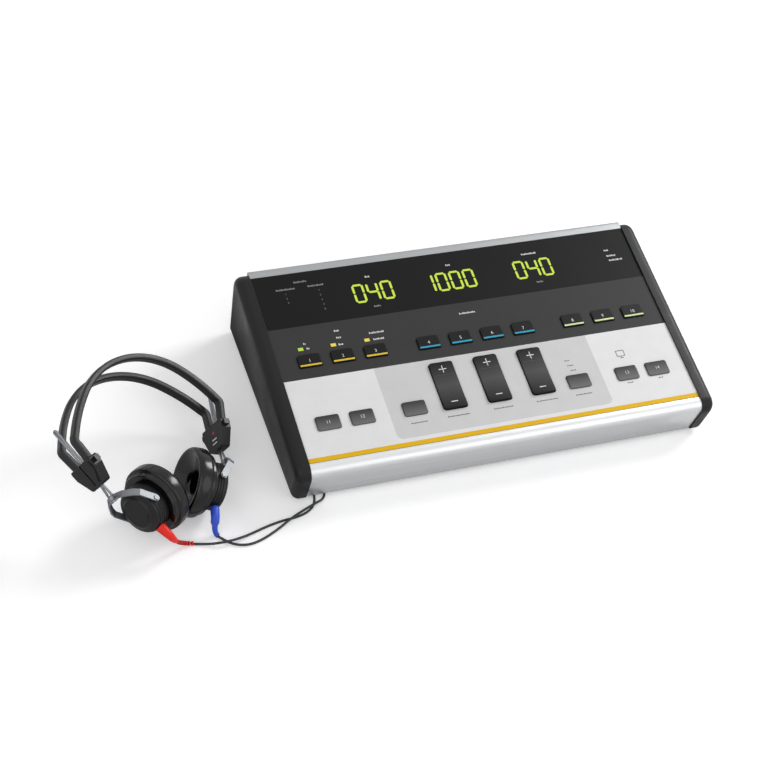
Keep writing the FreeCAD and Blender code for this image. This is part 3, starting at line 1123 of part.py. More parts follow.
def tube(points):
    """Round lead along straight runs joined by tangent arcs."""
    edges = []
    here = points[0]
    for before, corner, after in zip(points, points[1:], points[2:]):
        back, ahead = before - corner, after - corner
        reach = ARC_SHARE * min(back.Length, ahead.Length)
        half_turn = (math.pi - back.getAngle(ahead)) / 2
        radius = reach / math.tan(half_turn)
        back.normalize()
        ahead.normalize()
        first, last = corner + back * reach, corner + ahead * reach
        middle = corner + (back + ahead).normalize() * (radius / math.cos(half_turn) - radius)
        edges += [Part.LineSegment(here, first).toShape(), Part.Arc(first, middle, last).toShape()]
        here = last
    edges.append(Part.LineSegment(here, points[-1]).toShape())
    profile = Part.Wire(Part.makeCircle(LEAD_RADIUS, points[0], points[1] - points[0]))
    return Part.Wire(edges).makePipeShell([profile], True, False)


def coil(side):
    """Outer shape of the lead's neat coil."""
    centre = COIL_CENTRES[side] + UP * (COIL_SECTION + 0.1)
    return Part.makeTorus(COIL_RADIUS, COIL_SECTION, centre)


def jack_x(side):
    """Socket that the lead's jack is in."""
    return JACK_X[0] if side == "left" else JACK_X[1]


def jack_end(side):
    """Rear tip of the jack, where the lead enters it."""
    return Vector(jack_x(side), JACK_MOUTH_Y + JACK_HANDLE[1] + JACK_TAPER, SOCKET_Z)


def jack(side):
    """Phone jack on the lead's far end: handle, taper and pin in the socket."""
    x = jack_x(side)
    handle_end = JACK_MOUTH_Y + JACK_HANDLE[1]
    handle = socket_bar(x, JACK_HANDLE[0], JACK_MOUTH_Y, handle_end)
    taper = Part.makeCone(JACK_HANDLE[0] - 1.0, BOOT_TIP, JACK_TAPER, Vector(x, handle_end, SOCKET_Z), ALONG_Y)
    pin = socket_bar(x, PLUG_PIN, JACK_MOUTH_Y - JACK_DEPTH, JACK_MOUTH_Y)
    return fuse([handle, taper, pin])


def lead(side):
    """The lead's free stretches: floor run to the coil, and coil up to the jack."""
    route = LEFT_ROUTE if side == "left" else RIGHT_ROUTE
    floor_run = tube([floor_point(plan) for plan in route])
    start = jack_end(side)
    drop = tube([start + Vector(*step) for step in DROP_ROUTE[side]])
    ring = coil(side)
    return Part.makeCompound([largest(floor_run.cut(ring)), largest(drop.cut(ring))])


def largest(shape):
    """The largest solid of a shape."""
    return max(shape.Solids, key=lambda solid: solid.Volume)


# ================================================================ build
def build():
    """All nodes of the audiometer by name."""
    nodes = {
        "base_plate": base_plate(), "rear_panel": rear_panel(), "front_profile": front_profile(),
        "rear_profile": rear_profile(), "left_cheek": cheek(-1), "right_cheek": cheek(1),
        "top_panel": top_panel(), "overlay": overlay(), "keypad_board": keypad_board(),
        "main_board": main_board(), "tact_switches": tact_switches(), "display_modules": display_modules(),
        "status_leds": status_leds(), "rear_sockets": rear_sockets(), "feet": feet(),
        "case_screws": case_screws(), "power_switch_frame": power_switch_frame(),
        "power_switch": power_switch()}
    for name, u, v, size, radii in key_list():
        nodes[name] = push_key(u, v, size, radii)
    for name, u in zip(("rocker_left", "rocker_middle", "rocker_right"), ROCKER_U):
        nodes[name] = rocker(u)
    nodes["front_band"] = band(-1)
    nodes["rear_band"] = band(1)
    for side in ("left", "right"):
        nodes[side + "_block"] = block(side)
        nodes[side + "_rod"] = rod(side)
        nodes[side + "_yoke"] = yoke(side)
        nodes[side + "_housing"] = housing(side)
        nodes[side + "_cap"] = cap(side)
        nodes[side + "_cushion"] = cushion(side)
        nodes[side + "_plug"] = plug(side)
        nodes[side + "_lead"] = lead(side)
        nodes[side + "_coil"] = coil(side)
        nodes[side + "_jack"] = jack(side)
    return nodes


def main():
    """Write one STEP file per node."""
    os.makedirs("parts", exist_ok=True)
    for name, shape in build().items():
        if not shape.isValid() or not shape.Solids:
            print("not valid:", name)
        shape.exportStep("parts/" + name + ".step")
    print("nodes written")


main()
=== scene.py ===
"""Dressed model of a table audiometer: console, print, displays, headset, leads, studio and camera."""
from __future__ import annotations

import json
import logging
import math
from dataclasses import dataclass, field
from enum import Enum
from typing import Callable, Iterable, Sequence

import bmesh
import bpy
from mathutils import Matrix, Vector
from mathutils.bvhtree import BVHTree


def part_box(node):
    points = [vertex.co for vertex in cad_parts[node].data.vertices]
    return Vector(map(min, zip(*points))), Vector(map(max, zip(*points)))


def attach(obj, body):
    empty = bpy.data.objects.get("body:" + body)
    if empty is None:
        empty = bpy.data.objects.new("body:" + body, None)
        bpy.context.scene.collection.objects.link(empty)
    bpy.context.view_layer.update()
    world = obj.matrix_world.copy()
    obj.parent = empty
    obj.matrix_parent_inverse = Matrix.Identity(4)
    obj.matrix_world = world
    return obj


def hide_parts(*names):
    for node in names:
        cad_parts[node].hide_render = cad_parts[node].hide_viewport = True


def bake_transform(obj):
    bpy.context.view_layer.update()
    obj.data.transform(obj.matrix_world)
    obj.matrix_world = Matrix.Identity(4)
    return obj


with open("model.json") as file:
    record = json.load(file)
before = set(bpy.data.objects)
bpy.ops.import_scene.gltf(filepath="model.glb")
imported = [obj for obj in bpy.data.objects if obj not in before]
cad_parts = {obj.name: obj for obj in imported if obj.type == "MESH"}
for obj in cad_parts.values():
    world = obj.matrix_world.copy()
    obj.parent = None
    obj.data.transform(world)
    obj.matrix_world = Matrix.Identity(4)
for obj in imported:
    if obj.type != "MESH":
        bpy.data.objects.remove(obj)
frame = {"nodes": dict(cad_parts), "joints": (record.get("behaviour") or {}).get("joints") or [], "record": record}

LOG = logging.getLogger("audiometer")
MM = 0.001
Colour = tuple[float, float, float, float]
Point2 = tuple[float, float]
Point3 = tuple[float, float, float]


def srgb(code: str) -> Colour:
    """Linear colour of a six-digit sRGB code.

    Args:
        code: Colour such as "1b1b1b".

    Returns:
        Linear red, green, blue and an alpha of 1.
    """
    channels = [int(code[index:index + 2], 16) / 255 for index in (0, 2, 4)]
    linear = [c / 12.92 if c <= 0.04045 else ((c + 0.055) / 1.055) ** 2.4 for c in channels]
    return (linear[0], linear[1], linear[2], 1.0)


def mm(*values: float) -> Vector:
    """Point or size given in millimetres, in metres."""
    return Vector([value * MM for value in values])


# ---------------------------------------------------------------- node trees
class Graph:
    """Short way to add and join nodes in one tree."""

    def __init__(self, tree: bpy.types.NodeTree) -> None:
        """Works on the given tree."""
        self.tree = tree

    def add(self, kind: str, inputs: dict[str | int, object] | None = None,
            **settings: object) -> bpy.types.Node:
        """Adds a node, sets its properties and feeds its inputs.

        Args:
            kind: Node type, such as "ShaderNodeMix".
            inputs: Constants or output sockets by input name or index.
            settings: Node properties.

        Returns:
            The new node.
        """
        node = self.tree.nodes.new(kind)
        for name, value in settings.items():
            setattr(node, name, value)
        for key, value in (inputs or {}).items():
            self.feed(node.inputs[key], value)
        return node

    def feed(self, socket: bpy.types.NodeSocket, value: object) -> None:
        """Links an output to a socket, or sets the socket's own value."""
        if isinstance(value, bpy.types.NodeSocket):
            self.tree.links.new(value, socket)
        else:
            socket.default_value = value

    def math(self, operation: str, *values: object) -> bpy.types.NodeSocket:
        """Result of one arithmetic step."""
        return self.add("ShaderNodeMath", dict(enumerate(values)), operation=operation).outputs[0]

    def mix(self, share: object, first: object, second: object) -> bpy.types.NodeSocket:
        """Colour between two colours."""
        node = self.add("ShaderNodeMix", data_type="RGBA")
        for name, value in (("Factor_Float", share), ("A_Color", first), ("B_Color", second)):
            self.feed(next(s for s in node.inputs if s.identifier == name), value)
        return next(s for s in node.outputs if s.identifier == "Result_Color")

    def ramp(self, value: object, low: float, high: float, to_low: float,
             to_high: float) -> bpy.types.NodeSocket:
        """Value carried from one range to another, held at its ends."""
        return self.add("ShaderNodeMapRange", {"Value": value, "From Min": low, "From Max": high,
                                               "To Min": to_low, "To Max": to_high}).outputs[0]

    def parts(self, vector: object) -> bpy.types.NodeOutputs:
        """The three numbers of a vector."""
        return self.add("ShaderNodeSeparateXYZ", {0: vector}).outputs

    def noise(self, vector: object, scale: object, detail: float = 2.0, roughness: float = 0.5,
              distortion: float = 0.0) -> bpy.types.NodeSocket:
        """Cloudy noise between 0 and 1."""
        node = self.add("ShaderNodeTexNoise", {"Vector": vector, "Scale": scale, "Detail": detail,
                                               "Roughness": roughness, "Distortion": distortion})
        return node.outputs["Fac"]

    def seen(self) -> bpy.types.NodeSocket:
        """1 where the camera looks, also through clear pieces."""
        path = self.add("ShaderNodeLightPath").outputs
        return self.math("MAXIMUM", path["Is Camera Ray"], path["Is Transmission Ray"])


def new_group(name: str, kind: str, inputs: Sequence[tuple[str, str, object]],
              outputs: Sequence[tuple[str, str]]) -> tuple[Graph, bpy.types.Node, bpy.types.Node]:
    """Makes an empty node group with named sockets.

    Args:
        name: Name of the group.
        kind: "ShaderNodeTree" or "GeometryNodeTree".
        inputs: Name, socket type and default value of each input.
        outputs: Name and socket type of each output.

    Returns:
        The group's graph, its input node and its output node.
    """
    tree = bpy.data.node_groups.new(name, kind)
    for label, socket_type, default in inputs:
        socket = tree.interface.new_socket(label, in_out="INPUT", socket_type=socket_type)
        if default is not None:
            socket.default_value = default
    for label, socket_type in outputs:
        tree.interface.new_socket(label, in_out="OUTPUT", socket_type=socket_type)
    graph = Graph(tree)
    return graph, graph.add("NodeGroupInput"), graph.add("NodeGroupOutput")


# ---------------------------------------------------------------- shared shader groups
FLOAT, VECTOR = "NodeSocketFloat", "NodeSocketVector"
EDGE_RADIUS = 0.0004


class SharedEffects:
    """Shader node groups that several finishes use, each built once."""

    def __init__(self) -> None:
        """Builds every group."""
        self.moulded = self._moulded()
        self.brushed = self._brushed()
        self.edges = self._edges()
        self.smudges = self._smudges()
        self.zone = self._zone()

    @staticmethod
    def _moulded() -> bpy.types.NodeTree:
        """Fine spark texture of a moulded part."""
        graph, start, end = new_group("moulded_grain", "ShaderNodeTree",
                                      [("Vector", VECTOR, None), ("Scale", FLOAT, 1500.0)],
                                      [("Height", FLOAT), ("Shade", FLOAT)])
        vector, scale = start.outputs[0], start.outputs[1]
        fine = graph.noise(vector, scale, 2.0, 0.6)
        broad = graph.noise(vector, graph.math("MULTIPLY", scale, 0.02), 3.0)
        pits = graph.add("ShaderNodeTexVoronoi",
                         {"Vector": vector, "Scale": graph.math("MULTIPLY", scale, 0.7)})
        graph.feed(end.inputs[0], graph.math("MULTIPLY_ADD", pits.outputs["Distance"], 0.5, fine))
        graph.feed(end.inputs[1], graph.math("MULTIPLY_ADD", fine, 0.3, graph.math("MULTIPLY", broad, 0.7)))
        return graph.tree

    @staticmethod
    def _brushed() -> bpy.types.NodeTree:
        """Long fine streaks along X, as on drawn and brushed metal."""
        graph, start, end = new_group("brushed_grain", "ShaderNodeTree",
                                      [("Vector", VECTOR, None), ("Scale", FLOAT, 1500.0),
                                       ("Stretch", FLOAT, 0.01)], [("Height", FLOAT), ("Shade", FLOAT)])
        x, y, z = graph.parts(start.outputs[0])
        along = graph.math("MULTIPLY", x, start.outputs[2])
        drawn = graph.add("ShaderNodeCombineXYZ", {0: along, 1: y, 2: z}).outputs[0]
        streaks = graph.noise(drawn, start.outputs[1], 4.0, 0.7)
        broad = graph.math("MULTIPLY", graph.noise(drawn, graph.math("MULTIPLY", start.outputs[1], 0.1)), 0.4)
        graph.feed(end.inputs[0], streaks)
        graph.feed(end.inputs[1], graph.math("MULTIPLY_ADD", streaks, 0.6, broad))
        return graph.tree

    @staticmethod
    def _edges() -> bpy.types.NodeTree:
        """Softened edges and a mask of where hands rub them."""
        graph, _, end = new_group("rubbed_edges", "ShaderNodeTree", [], [("Normal", VECTOR), ("Mask", FLOAT)])
        softened = graph.add("ShaderNodeBevel", {"Radius": EDGE_RADIUS}, samples=4)
        surface = graph.add("ShaderNodeNewGeometry")
        facing = graph.add("ShaderNodeVectorMath", {0: softened.outputs[0], 1: surface.outputs["Normal"]},
                           operation="DOT_PRODUCT")
        graph.feed(end.inputs[0], softened.outputs[0])
        graph.feed(end.inputs[1], graph.ramp(facing.outputs["Value"], 0.80, 0.99, 1.0, 0.0))
        return graph.tree

    @staticmethod
    def _smudges() -> bpy.types.NodeTree:
        """Broad cloudy mask of handling marks and settled dust."""
        graph, start, end = new_group("handling_marks", "ShaderNodeTree",
                                      [("Vector", VECTOR, None), ("Scale", FLOAT, 25.0)], [("Mask", FLOAT)])
        cloud = graph.noise(start.outputs[0], start.outputs[1], 5.0, 0.55, 0.4)
        graph.feed(end.inputs[0], graph.ramp(cloud, 0.42, 0.68, 0.0, 1.0))
        return graph.tree

    @staticmethod
    def _zone() -> bpy.types.NodeTree:
        """Mask of a rounded rectangle in the XY plane of the vector."""
        graph, start, end = new_group("rounded_zone", "ShaderNodeTree",
                                      [("Vector", VECTOR, None), ("Centre X", FLOAT, 0.0),
                                       ("Centre Y", FLOAT, 0.0), ("Half Width", FLOAT, 0.1),
                                       ("Half Length", FLOAT, 0.1), ("Corner", FLOAT, 0.005)],
                                      [("Mask", FLOAT)])
        parts = graph.parts(start.outputs[0])
        corner = start.outputs[5]
        sides = []
        for axis in (0, 1):
            offset = graph.math("ABSOLUTE", graph.math("SUBTRACT", parts[axis], start.outputs[1 + axis]))
            inner = graph.math("SUBTRACT", start.outputs[3 + axis], corner)
            past = graph.math("MAXIMUM", graph.math("SUBTRACT", offset, inner), 0.0)
            sides.append(graph.math("POWER", past, 2.0))
        reach = graph.math("SQRT", graph.math("ADD", *sides))
        graph.feed(end.inputs[0], graph.math("LESS_THAN", reach, corner))
        return graph.tree


EFFECTS = SharedEffects()


# ---------------------------------------------------------------- finishes
WORN_GREY: Colour = (0.55, 0.55, 0.55, 1.0)
UNLIT_BLACK: Colour = (0.02, 0.02, 0.02, 1.0)
COAT_ROUGHNESS = 0.12
GRAIN_STRENGTH = 0.6


class Grain(Enum):
    """Surface texture of a finish."""

    MOULDED = "moulded"
    BRUSHED = "brushed"


@dataclass(frozen=True)
class Finish:
    """One material: its colour, gloss, grain and wear."""

    name: str
    colour: str
    roughness: float = 0.45
    metallic: float = 0.0
    grain: Grain = Grain.MOULDED
    scale: float = 1500.0          # grain cells per metre
    depth: float = 0.00003         # grain height
    shade: float = 0.10            # how far the grain lightens or darkens the colour
    gloss_change: float = 0.08     # how far handling marks change the roughness
    wear: float = 0.12             # lighter rubbed edges
    coat: float = 0.0
    specular: float = 0.25
    glow: float = 0.0

    def material(self) -> bpy.types.Material:
        """The finish's material, made on first use."""
        made = bpy.data.materials.get(self.name)
        if made is not None:
            return made
        made = bpy.data.materials.new(self.name)
        made.use_nodes = True
        graph = Graph(made.node_tree)
        shader = made.node_tree.nodes["Principled BSDF"]
        place = graph.add("ShaderNodeTexCoord").outputs["Object"]
        group = EFFECTS.brushed if self.grain is Grain.BRUSHED else EFFECTS.moulded
        grain = graph.add("ShaderNodeGroup", node_tree=group)
        graph.feed(grain.inputs["Vector"], place)
        graph.feed(grain.inputs["Scale"], self.scale)
        edges = graph.add("ShaderNodeGroup", node_tree=EFFECTS.edges)
        marks = graph.add("ShaderNodeGroup", node_tree=EFFECTS.smudges)
        graph.feed(marks.inputs["Vector"], place)
        base = self.colours(graph, place)
        value = graph.ramp(grain.outputs["Shade"], 0.3, 0.7, 1.0 - self.shade, 1.0 + self.shade)
        light = graph.add("ShaderNodeHueSaturation", {"Color": base, "Value": value}).outputs[0]
        rubbed = graph.math("MULTIPLY", edges.outputs["Mask"], self.wear)
        graph.feed(shader.inputs["Base Color"], graph.mix(rubbed, light, WORN_GREY))
        graph.feed(shader.inputs["Roughness"],
                   graph.math("MULTIPLY_ADD", marks.outputs[0], self.gloss_change, self.roughness))
        bump = graph.add("ShaderNodeBump", {"Height": grain.outputs["Height"], "Distance": self.depth,
                                            "Normal": edges.outputs["Normal"], "Strength": GRAIN_STRENGTH})
        graph.feed(shader.inputs["Normal"], bump.outputs[0])
        shader.inputs["Metallic"].default_value = self.metallic
        shader.inputs["Coat Weight"].default_value = self.coat
        shader.inputs["Coat Roughness"].default_value = COAT_ROUGHNESS
        shader.inputs["Specular IOR Level"].default_value = self.specular
        if self.glow:
            shader.inputs["Base Color"].default_value = UNLIT_BLACK
            made.node_tree.links.remove(shader.inputs["Base Color"].links[0])
            graph.feed(shader.inputs["Emission Color"], base)
            shader.inputs["Emission Strength"].default_value = self.glow
        return made

    def colours(self, graph: Graph, place: bpy.types.NodeSocket) -> object:
        """Base colour before grain and wear: one colour, or a socket in a finish with zones."""
        return srgb(self.colour)

    def dress(self, obj: bpy.types.Object) -> bpy.types.Object:
        """Gives the finish to a whole object."""
        obj.data.materials.clear()
        obj.data.materials.append(self.material())
        return obj


@dataclass(frozen=True)
class MetalFinish(Finish):
    """Drawn or plated metal with fine streaks."""

    metallic: float = 1.0
    grain: Grain = Grain.BRUSHED
    scale: float = 2200.0
    depth: float = 0.00001
    gloss_change: float = 0.05
    wear: float = 0.0


@dataclass(frozen=True)
class PrintFinish(Finish):
    """Flat print or lit window, with no grain to see and no wear."""

    roughness: float = 0.5
    scale: float = 3000.0
    shade: float = 0.0
    wear: float = 0.0


@dataclass(frozen=True)
class PanelFrame:
    """Sloping panel's own frame: u across, v down the slope, h above it, in millimetres."""

    origin: Point3 = (0.0, 113.0, 81.1)
    slope: float = 8.95

    def matrix(self) -> Matrix:
        """Placement of the panel in metres, with Y up the slope."""
        return Matrix.Translation(mm(*self.origin)) @ Matrix.Rotation(math.radians(self.slope), 4, "X")

    def at(self, u: float, v: float, h: float = 0.0) -> Vector:
        """Point of the row frame for a place on the panel."""
        return self.matrix() @ mm(u, -v, h)

    def local(self, graph: Graph, place: bpy.types.NodeSocket) -> tuple[bpy.types.NodeSocket, ...]:
        """Object coordinates in the panel's frame, and the distance down the slope."""
        local = graph.add("ShaderNodeMapping", {"Vector": place, "Location": mm(*self.origin),
                                                "Rotation": (math.radians(self.slope), 0.0, 0.0)},
                          vector_type="TEXTURE").outputs[0]
        return local, graph.math("MULTIPLY", graph.parts(local)[1], -1.0)


PANEL = PanelFrame()


@dataclass(frozen=True)
class OverlayFinish(Finish):
    """Printed film of the panel: colour bands across it and a greyer field round the rockers."""

    black: str = "161616"
    charcoal: str = "3a3a3a"
    pale: str = "e2e2e2"
    field: str = "cdcdcd"
    stripe: str = "e2b320"
    edges: tuple[float, float, float] = (70.0, 128.5, 212.0)
    field_box: tuple[float, float, float, float] = (108.5, 60.0, 208.0, 6.0)

    def colours(self, graph: Graph, place: bpy.types.NodeSocket) -> object:
        """Bands by distance down the slope, with the rounded field over the pale one."""
        local, down = PANEL.local(graph, place)
        half, top, bottom, corner = (value * MM for value in self.field_box)
        zone = graph.add("ShaderNodeGroup", node_tree=EFFECTS.zone)
        for label, value in (("Vector", local), ("Centre Y", -(top + bottom) / 2), ("Half Width", half),
                             ("Half Length", (bottom - top) / 2), ("Corner", corner)):
            graph.feed(zone.inputs[label], value)
        pale = graph.mix(zone.outputs[0], srgb(self.pale), srgb(self.field))
        colour: object = srgb(self.black)
        for edge, following in zip(self.edges, (srgb(self.charcoal), pale, srgb(self.stripe))):
            colour = graph.mix(graph.math("GREATER_THAN", down, edge * MM), colour, following)
        return colour


@dataclass(frozen=True)
class KeyFinish(Finish):
    """Key cap shaded from dark at its top to grey at its foot, on the panel."""

    foot: str = "6a6a6a"
    span: Point2 = (170.0, 186.0)      # where the shading starts and ends, down the slope

    def colours(self, graph: Graph, place: bpy.types.NodeSocket) -> object:
        """Colour by distance down the slope."""
        _, down = PANEL.local(graph, place)
        return graph.mix(graph.ramp(down, self.span[0] * MM, self.span[1] * MM, 0.0, 1.0),
                         srgb(self.colour), srgb(self.foot))


@dataclass(frozen=True)
class RockerFinish(KeyFinish):
    """Rocker cap: black ends and a greyer middle that is a painted highlight."""

    def colours(self, graph: Graph, place: bpy.types.NodeSocket) -> object:
        """Painted highlight: a grey hump between the black ends."""
        _, down = PANEL.local(graph, place)
        middle = (self.span[0] + self.span[1]) / 2 * MM
        half = (self.span[1] - self.span[0]) / 2 * MM
        away = graph.math("DIVIDE", graph.math("ABSOLUTE", graph.math("SUBTRACT", down, middle)), half)
        return graph.mix(graph.ramp(away, 0.0, 1.0, 1.0, 0.0), srgb(self.colour), srgb(self.foot))


NOSE_METAL = MetalFinish("satin_nose_aluminium", "d2d3d4", 0.36, 0.85)
REAR_METAL = MetalFinish("satin_rear_aluminium", "a2a4a5", 0.34, 0.9)
CHEEK = Finish("black_cheek_polymer", "171718", 0.40, scale=1400.0, depth=0.00006, shade=0.03, wear=0.06,
               specular=0.22)
OVERLAY = OverlayFinish("panel_film", "151515", 0.38, scale=3000.0, depth=0.000008, shade=0.03,
                        gloss_change=0.02, wear=0.0, specular=0.10)
KEY_BLACK = Finish("black_key_cap", "141414", 0.40, scale=2500.0, depth=0.00002, shade=0.02, wear=0.05,
                   specular=0.14)
KEY_GREY = KeyFinish("shaded_key_cap", "2e2e2e", 0.40, scale=2500.0, depth=0.00002, shade=0.02, wear=0.03,
                     specular=0.14, foot="707070")
# On the rocker, foot is the grey of the painted highlight across the middle of the span.
ROCKER = RockerFinish("rocker_cap_painted_highlight", "121212", 0.36, scale=2500.0, depth=0.00002, shade=0.02, wear=0.03,
                      specular=0.16, foot="4a4a4a", span=(134.0, 186.0))
PANEL_SHEET = Finish("coated_panel_sheet", "a9abac", 0.5, 0.3, scale=1800.0)
REAR_COAT = Finish("rear_powder_coat", "222324", 0.55, 0.1, scale=1300.0, depth=0.00008, shade=0.05)
BASE_COAT = Finish("base_powder_coat", "323334", 0.6, 0.1, scale=1300.0, depth=0.00008, shade=0.05)
RUBBER = Finish("foot_rubber", "141414", 0.8, scale=1100.0, depth=0.00008, shade=0.04)
STEEL = MetalFinish("zinc_steel", "b9bcbf", 0.32, scale=2600.0, gloss_change=0.1)
BOARD = Finish("board_green", "1c5a37", 0.38, scale=1600.0, shade=0.12, coat=0.4)
SWITCH_CAP = Finish("tact_switch_black", "202022", 0.5, scale=2000.0)
DISPLAY_CASE = Finish("display_case_black", "141414", 0.45, scale=2000.0)
SOCKET = Finish("socket_nylon", "19191a", 0.5, scale=1800.0)
POWER_CAP = Finish("power_rocker_black", "1b1b1c", 0.35, scale=2000.0)
CHROME = MetalFinish("chrome_plate", "86888b", 0.50, scale=3000.0, depth=0.000002, shade=0.03,
                     gloss_change=0.06)
BAND_SLEEVE = Finish("black_band_sleeve", "0f0f10", 0.36, scale=1300.0, depth=0.00004, shade=0.03, wear=0.0,
                     specular=0.35)
BLOCK_PLASTIC = Finish("black_block_plastic", "101011", 0.34, depth=0.00004, shade=0.03, wear=0.10,
                       specular=0.30)
HOUSING = Finish("black_earphone_case", "0e0e0f", 0.36, shade=0.03, wear=0.08, specular=0.30)
CUSHION = Finish("black_cushion_rubber", "070708", 0.16, scale=1600.0, depth=0.000006, shade=0.0, wear=0.0,
                 coat=0.10, specular=0.30)
LEAD = Finish("grey_lead_jacket", "3c3d3f", 0.48, scale=2200.0, depth=0.00002, shade=0.08, wear=0.0)
RED_BOOT = Finish("red_plug_boot", "e8291c", 0.38, scale=2000.0, shade=0.03, wear=0.0)
BLUE_BOOT = Finish("blue_plug_boot", "3a5ad0", 0.38, scale=2000.0, shade=0.03, wear=0.0)
# Painted shade: darker red for the faces inside the boot's grooves, where shade falls between the ribs.
GROOVE_PAINTED_SHADE = Finish("red_groove_painted_shade", "7d120c", 0.5, scale=2000.0, shade=0.03, wear=0.0)
TIE = Finish("black_cable_tie", "222222", 0.6, scale=1800.0, depth=0.00008)
WHITE_PRINT = PrintFinish("white_print", "e4e4e4")
GREY_PRINT = PrintFinish("grey_print", "8f8f8f")
DARK_PRINT = PrintFinish("dark_print", "505050")
YELLOW_PRINT = PrintFinish("yellow_print", "e3c33a", 0.45)
BLUE_PRINT = PrintFinish("blue_print", "2f9fc0", 0.45)
GREEN_PRINT = PrintFinish("green_print", "d6e8a8", 0.45)
RED_PRINT = PrintFinish("red_dot", "c23b4c", 0.4)
DIGIT = PrintFinish("display_digit", "c6e03a", glow=1.0)
LAMP_GREEN = PrintFinish("lamp_green", "b4d83c", 0.4, glow=1.0)
LAMP_YELLOW = PrintFinish("lamp_yellow", "ead04a", 0.4, glow=1.0)


# ---------------------------------------------------------------- mesh helpers
SAME_POINT = 1e-7           # metres within which two points are one
CAD_WELD = 0.00001          # the same for the CAD's facets, in their shading alone
CAD_SPLIT = 28.0            # sharpest angle between facets that is shaded round
CUSHION_SIDES = 128
TAILS = 3
TUBE_ANGLE = 60.0


def add_object(name: str, mesh: bpy.types.Mesh) -> bpy.types.Object:
    """Object at the origin for a mesh whose place is in its points."""
    obj = bpy.data.objects.new(name, mesh)
    bpy.context.scene.collection.objects.link(obj)
    return obj


def plain_mesh(obj: bpy.types.Object, name: str) -> bpy.types.Object:
    """Bakes an object's modifiers or curve into a new plain object and removes the first.

    Args:
        obj: Object to evaluate.
        name: Name of the baked object.

    Returns:
        The baked object, at the origin.
    """
    bpy.context.view_layer.update()
    depsgraph = bpy.context.evaluated_depsgraph_get()
    mesh = bpy.data.meshes.new_from_object(obj.evaluated_get(depsgraph))
    mesh.transform(obj.matrix_world)
    bpy.data.objects.remove(obj)
    mesh.name = name
    return add_object(name, mesh)


def fit(piece: bpy.types.Object, finish: Finish, body: str, *nodes: str) -> bpy.types.Object:
    """Dresses a piece and lets it ride on a body, in place of CAD nodes where they are named."""
    finish.dress(piece)
    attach(piece, body)
    if nodes:
        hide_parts(*nodes)
    return piece


def mesh_of(name: str, points: Iterable[Vector], faces: Iterable[Sequence[int]],
            smooth_angle: float | None = 40.0) -> bpy.types.Object:
    """Object from points and faces, normals outwards, shaded smooth up to an angle.

    Args:
        name: Name of the object.
        points: Vertices in metres.
        faces: Vertex numbers of each face.
        smooth_angle: Largest angle in degrees that is shaded round, or None for flat.

    Returns:
        The new object.
    """
    mesh = bpy.data.meshes.new(name)
    mesh.from_pydata([tuple(p) for p in points], [], [tuple(f) for f in faces])
    bm = bmesh.new()
    bm.from_mesh(mesh)
    bmesh.ops.remove_doubles(bm, verts=bm.verts, dist=SAME_POINT)
    bmesh.ops.recalc_face_normals(bm, faces=bm.faces)
    if smooth_angle is not None:
        limit = math.radians(smooth_angle)
        for face in bm.faces:
            face.smooth = True
        for edge in bm.edges:
            edge.smooth = len(edge.link_faces) == 2 and edge.calc_face_angle(0.0) < limit
    bm.to_mesh(mesh)
    bm.free()
    return add_object(name, mesh)


def ring_faces(first: Sequence[int], second: Sequence[int]) -> list[list[int]]:
    """Faces between two rings of points; a ring that repeats one point is a pole."""
    faces = []
    for step in range(len(first)):
        following = (step + 1) % len(first)
        corners = list(dict.fromkeys((first[step], first[following], second[following], second[step])))
        if len(corners) > 2:
            faces.append(corners)
    return faces


def lathe(name: str, profile: Sequence[Point2], place: Matrix, sides: int = 96,
          closed: bool = True) -> bpy.types.Object:
    """Turned piece about the local X axis.

    Args:
        name: Name of the object.
        profile: (along, radius) points in millimetres; radius 0 is a pole.
        place: Local frame in metres.
        sides: Number of steps round.
        closed: Whether the last profile point joins the first.

    Returns:
        The turned object.
    """
    points: list[Vector] = []
    rings: list[list[int]] = []
    for along, radius in profile:
        if radius <= 0:
            rings.append([len(points)] * sides)
            points.append(place @ mm(along, 0, 0))
            continue
        rings.append(list(range(len(points), len(points) + sides)))
        for step in range(sides):
            angle = 2 * math.pi * step / sides
            points.append(place @ mm(along, radius * math.cos(angle), radius * math.sin(angle)))
    after = rings[1:] + rings[:1] if closed else rings[1:]
    return mesh_of(name, points, [face for pair in zip(rings, after) for face in ring_faces(*pair)])


def sweep(name: str, line: Sequence[Vector], radius: Callable[[int], float],
          sides: int = 12) -> bpy.types.Object:
    """Round tube along a line, with turned ends.

    Args:
        name: Name of the object.
        line: Points of the centreline, in metres.
        radius: Radius in metres at each point's number.
        sides: Number of steps round.

    Returns:
        The closed tube.
    """
    count = len(line)
    ahead = [(line[min(count - 1, i + 1)] - line[max(0, i - 1)]).normalized() for i in range(count)]
    across = ahead[0].orthogonal().normalized()
    points: list[Vector] = []
    for index, centre in enumerate(line):
        across = (across - ahead[index] * across.dot(ahead[index])).normalized()
        other = ahead[index].cross(across)
        size = radius(index)
        for step in range(sides):
            angle = 2 * math.pi * step / sides
            points.append(centre + (across * math.cos(angle) + other * math.sin(angle)) * size)
    rings = [list(range(index * sides, (index + 1) * sides)) for index in range(count)]
    faces = [face for pair in zip(rings, rings[1:]) for face in ring_faces(*pair)]
    return mesh_of(name, points, faces + [rings[0][::-1], rings[-1]], TUBE_ANGLE)


# ---------------------------------------------------------------- repeated shapes by Geometry Nodes
HEXAGON_FLAT = 0.5774       # makes a hexagon of radius 1 one unit wide across its flats
FACE_STEP = 1.2             # longest part of a mark that follows a curved cap
ABOVE_PANEL = 100.0         # higher than any key
PRINT_LIFT = 0.03           # a hair's clearance under print
TYPE_SIZE = 1.4             # type size of a letter one unit high


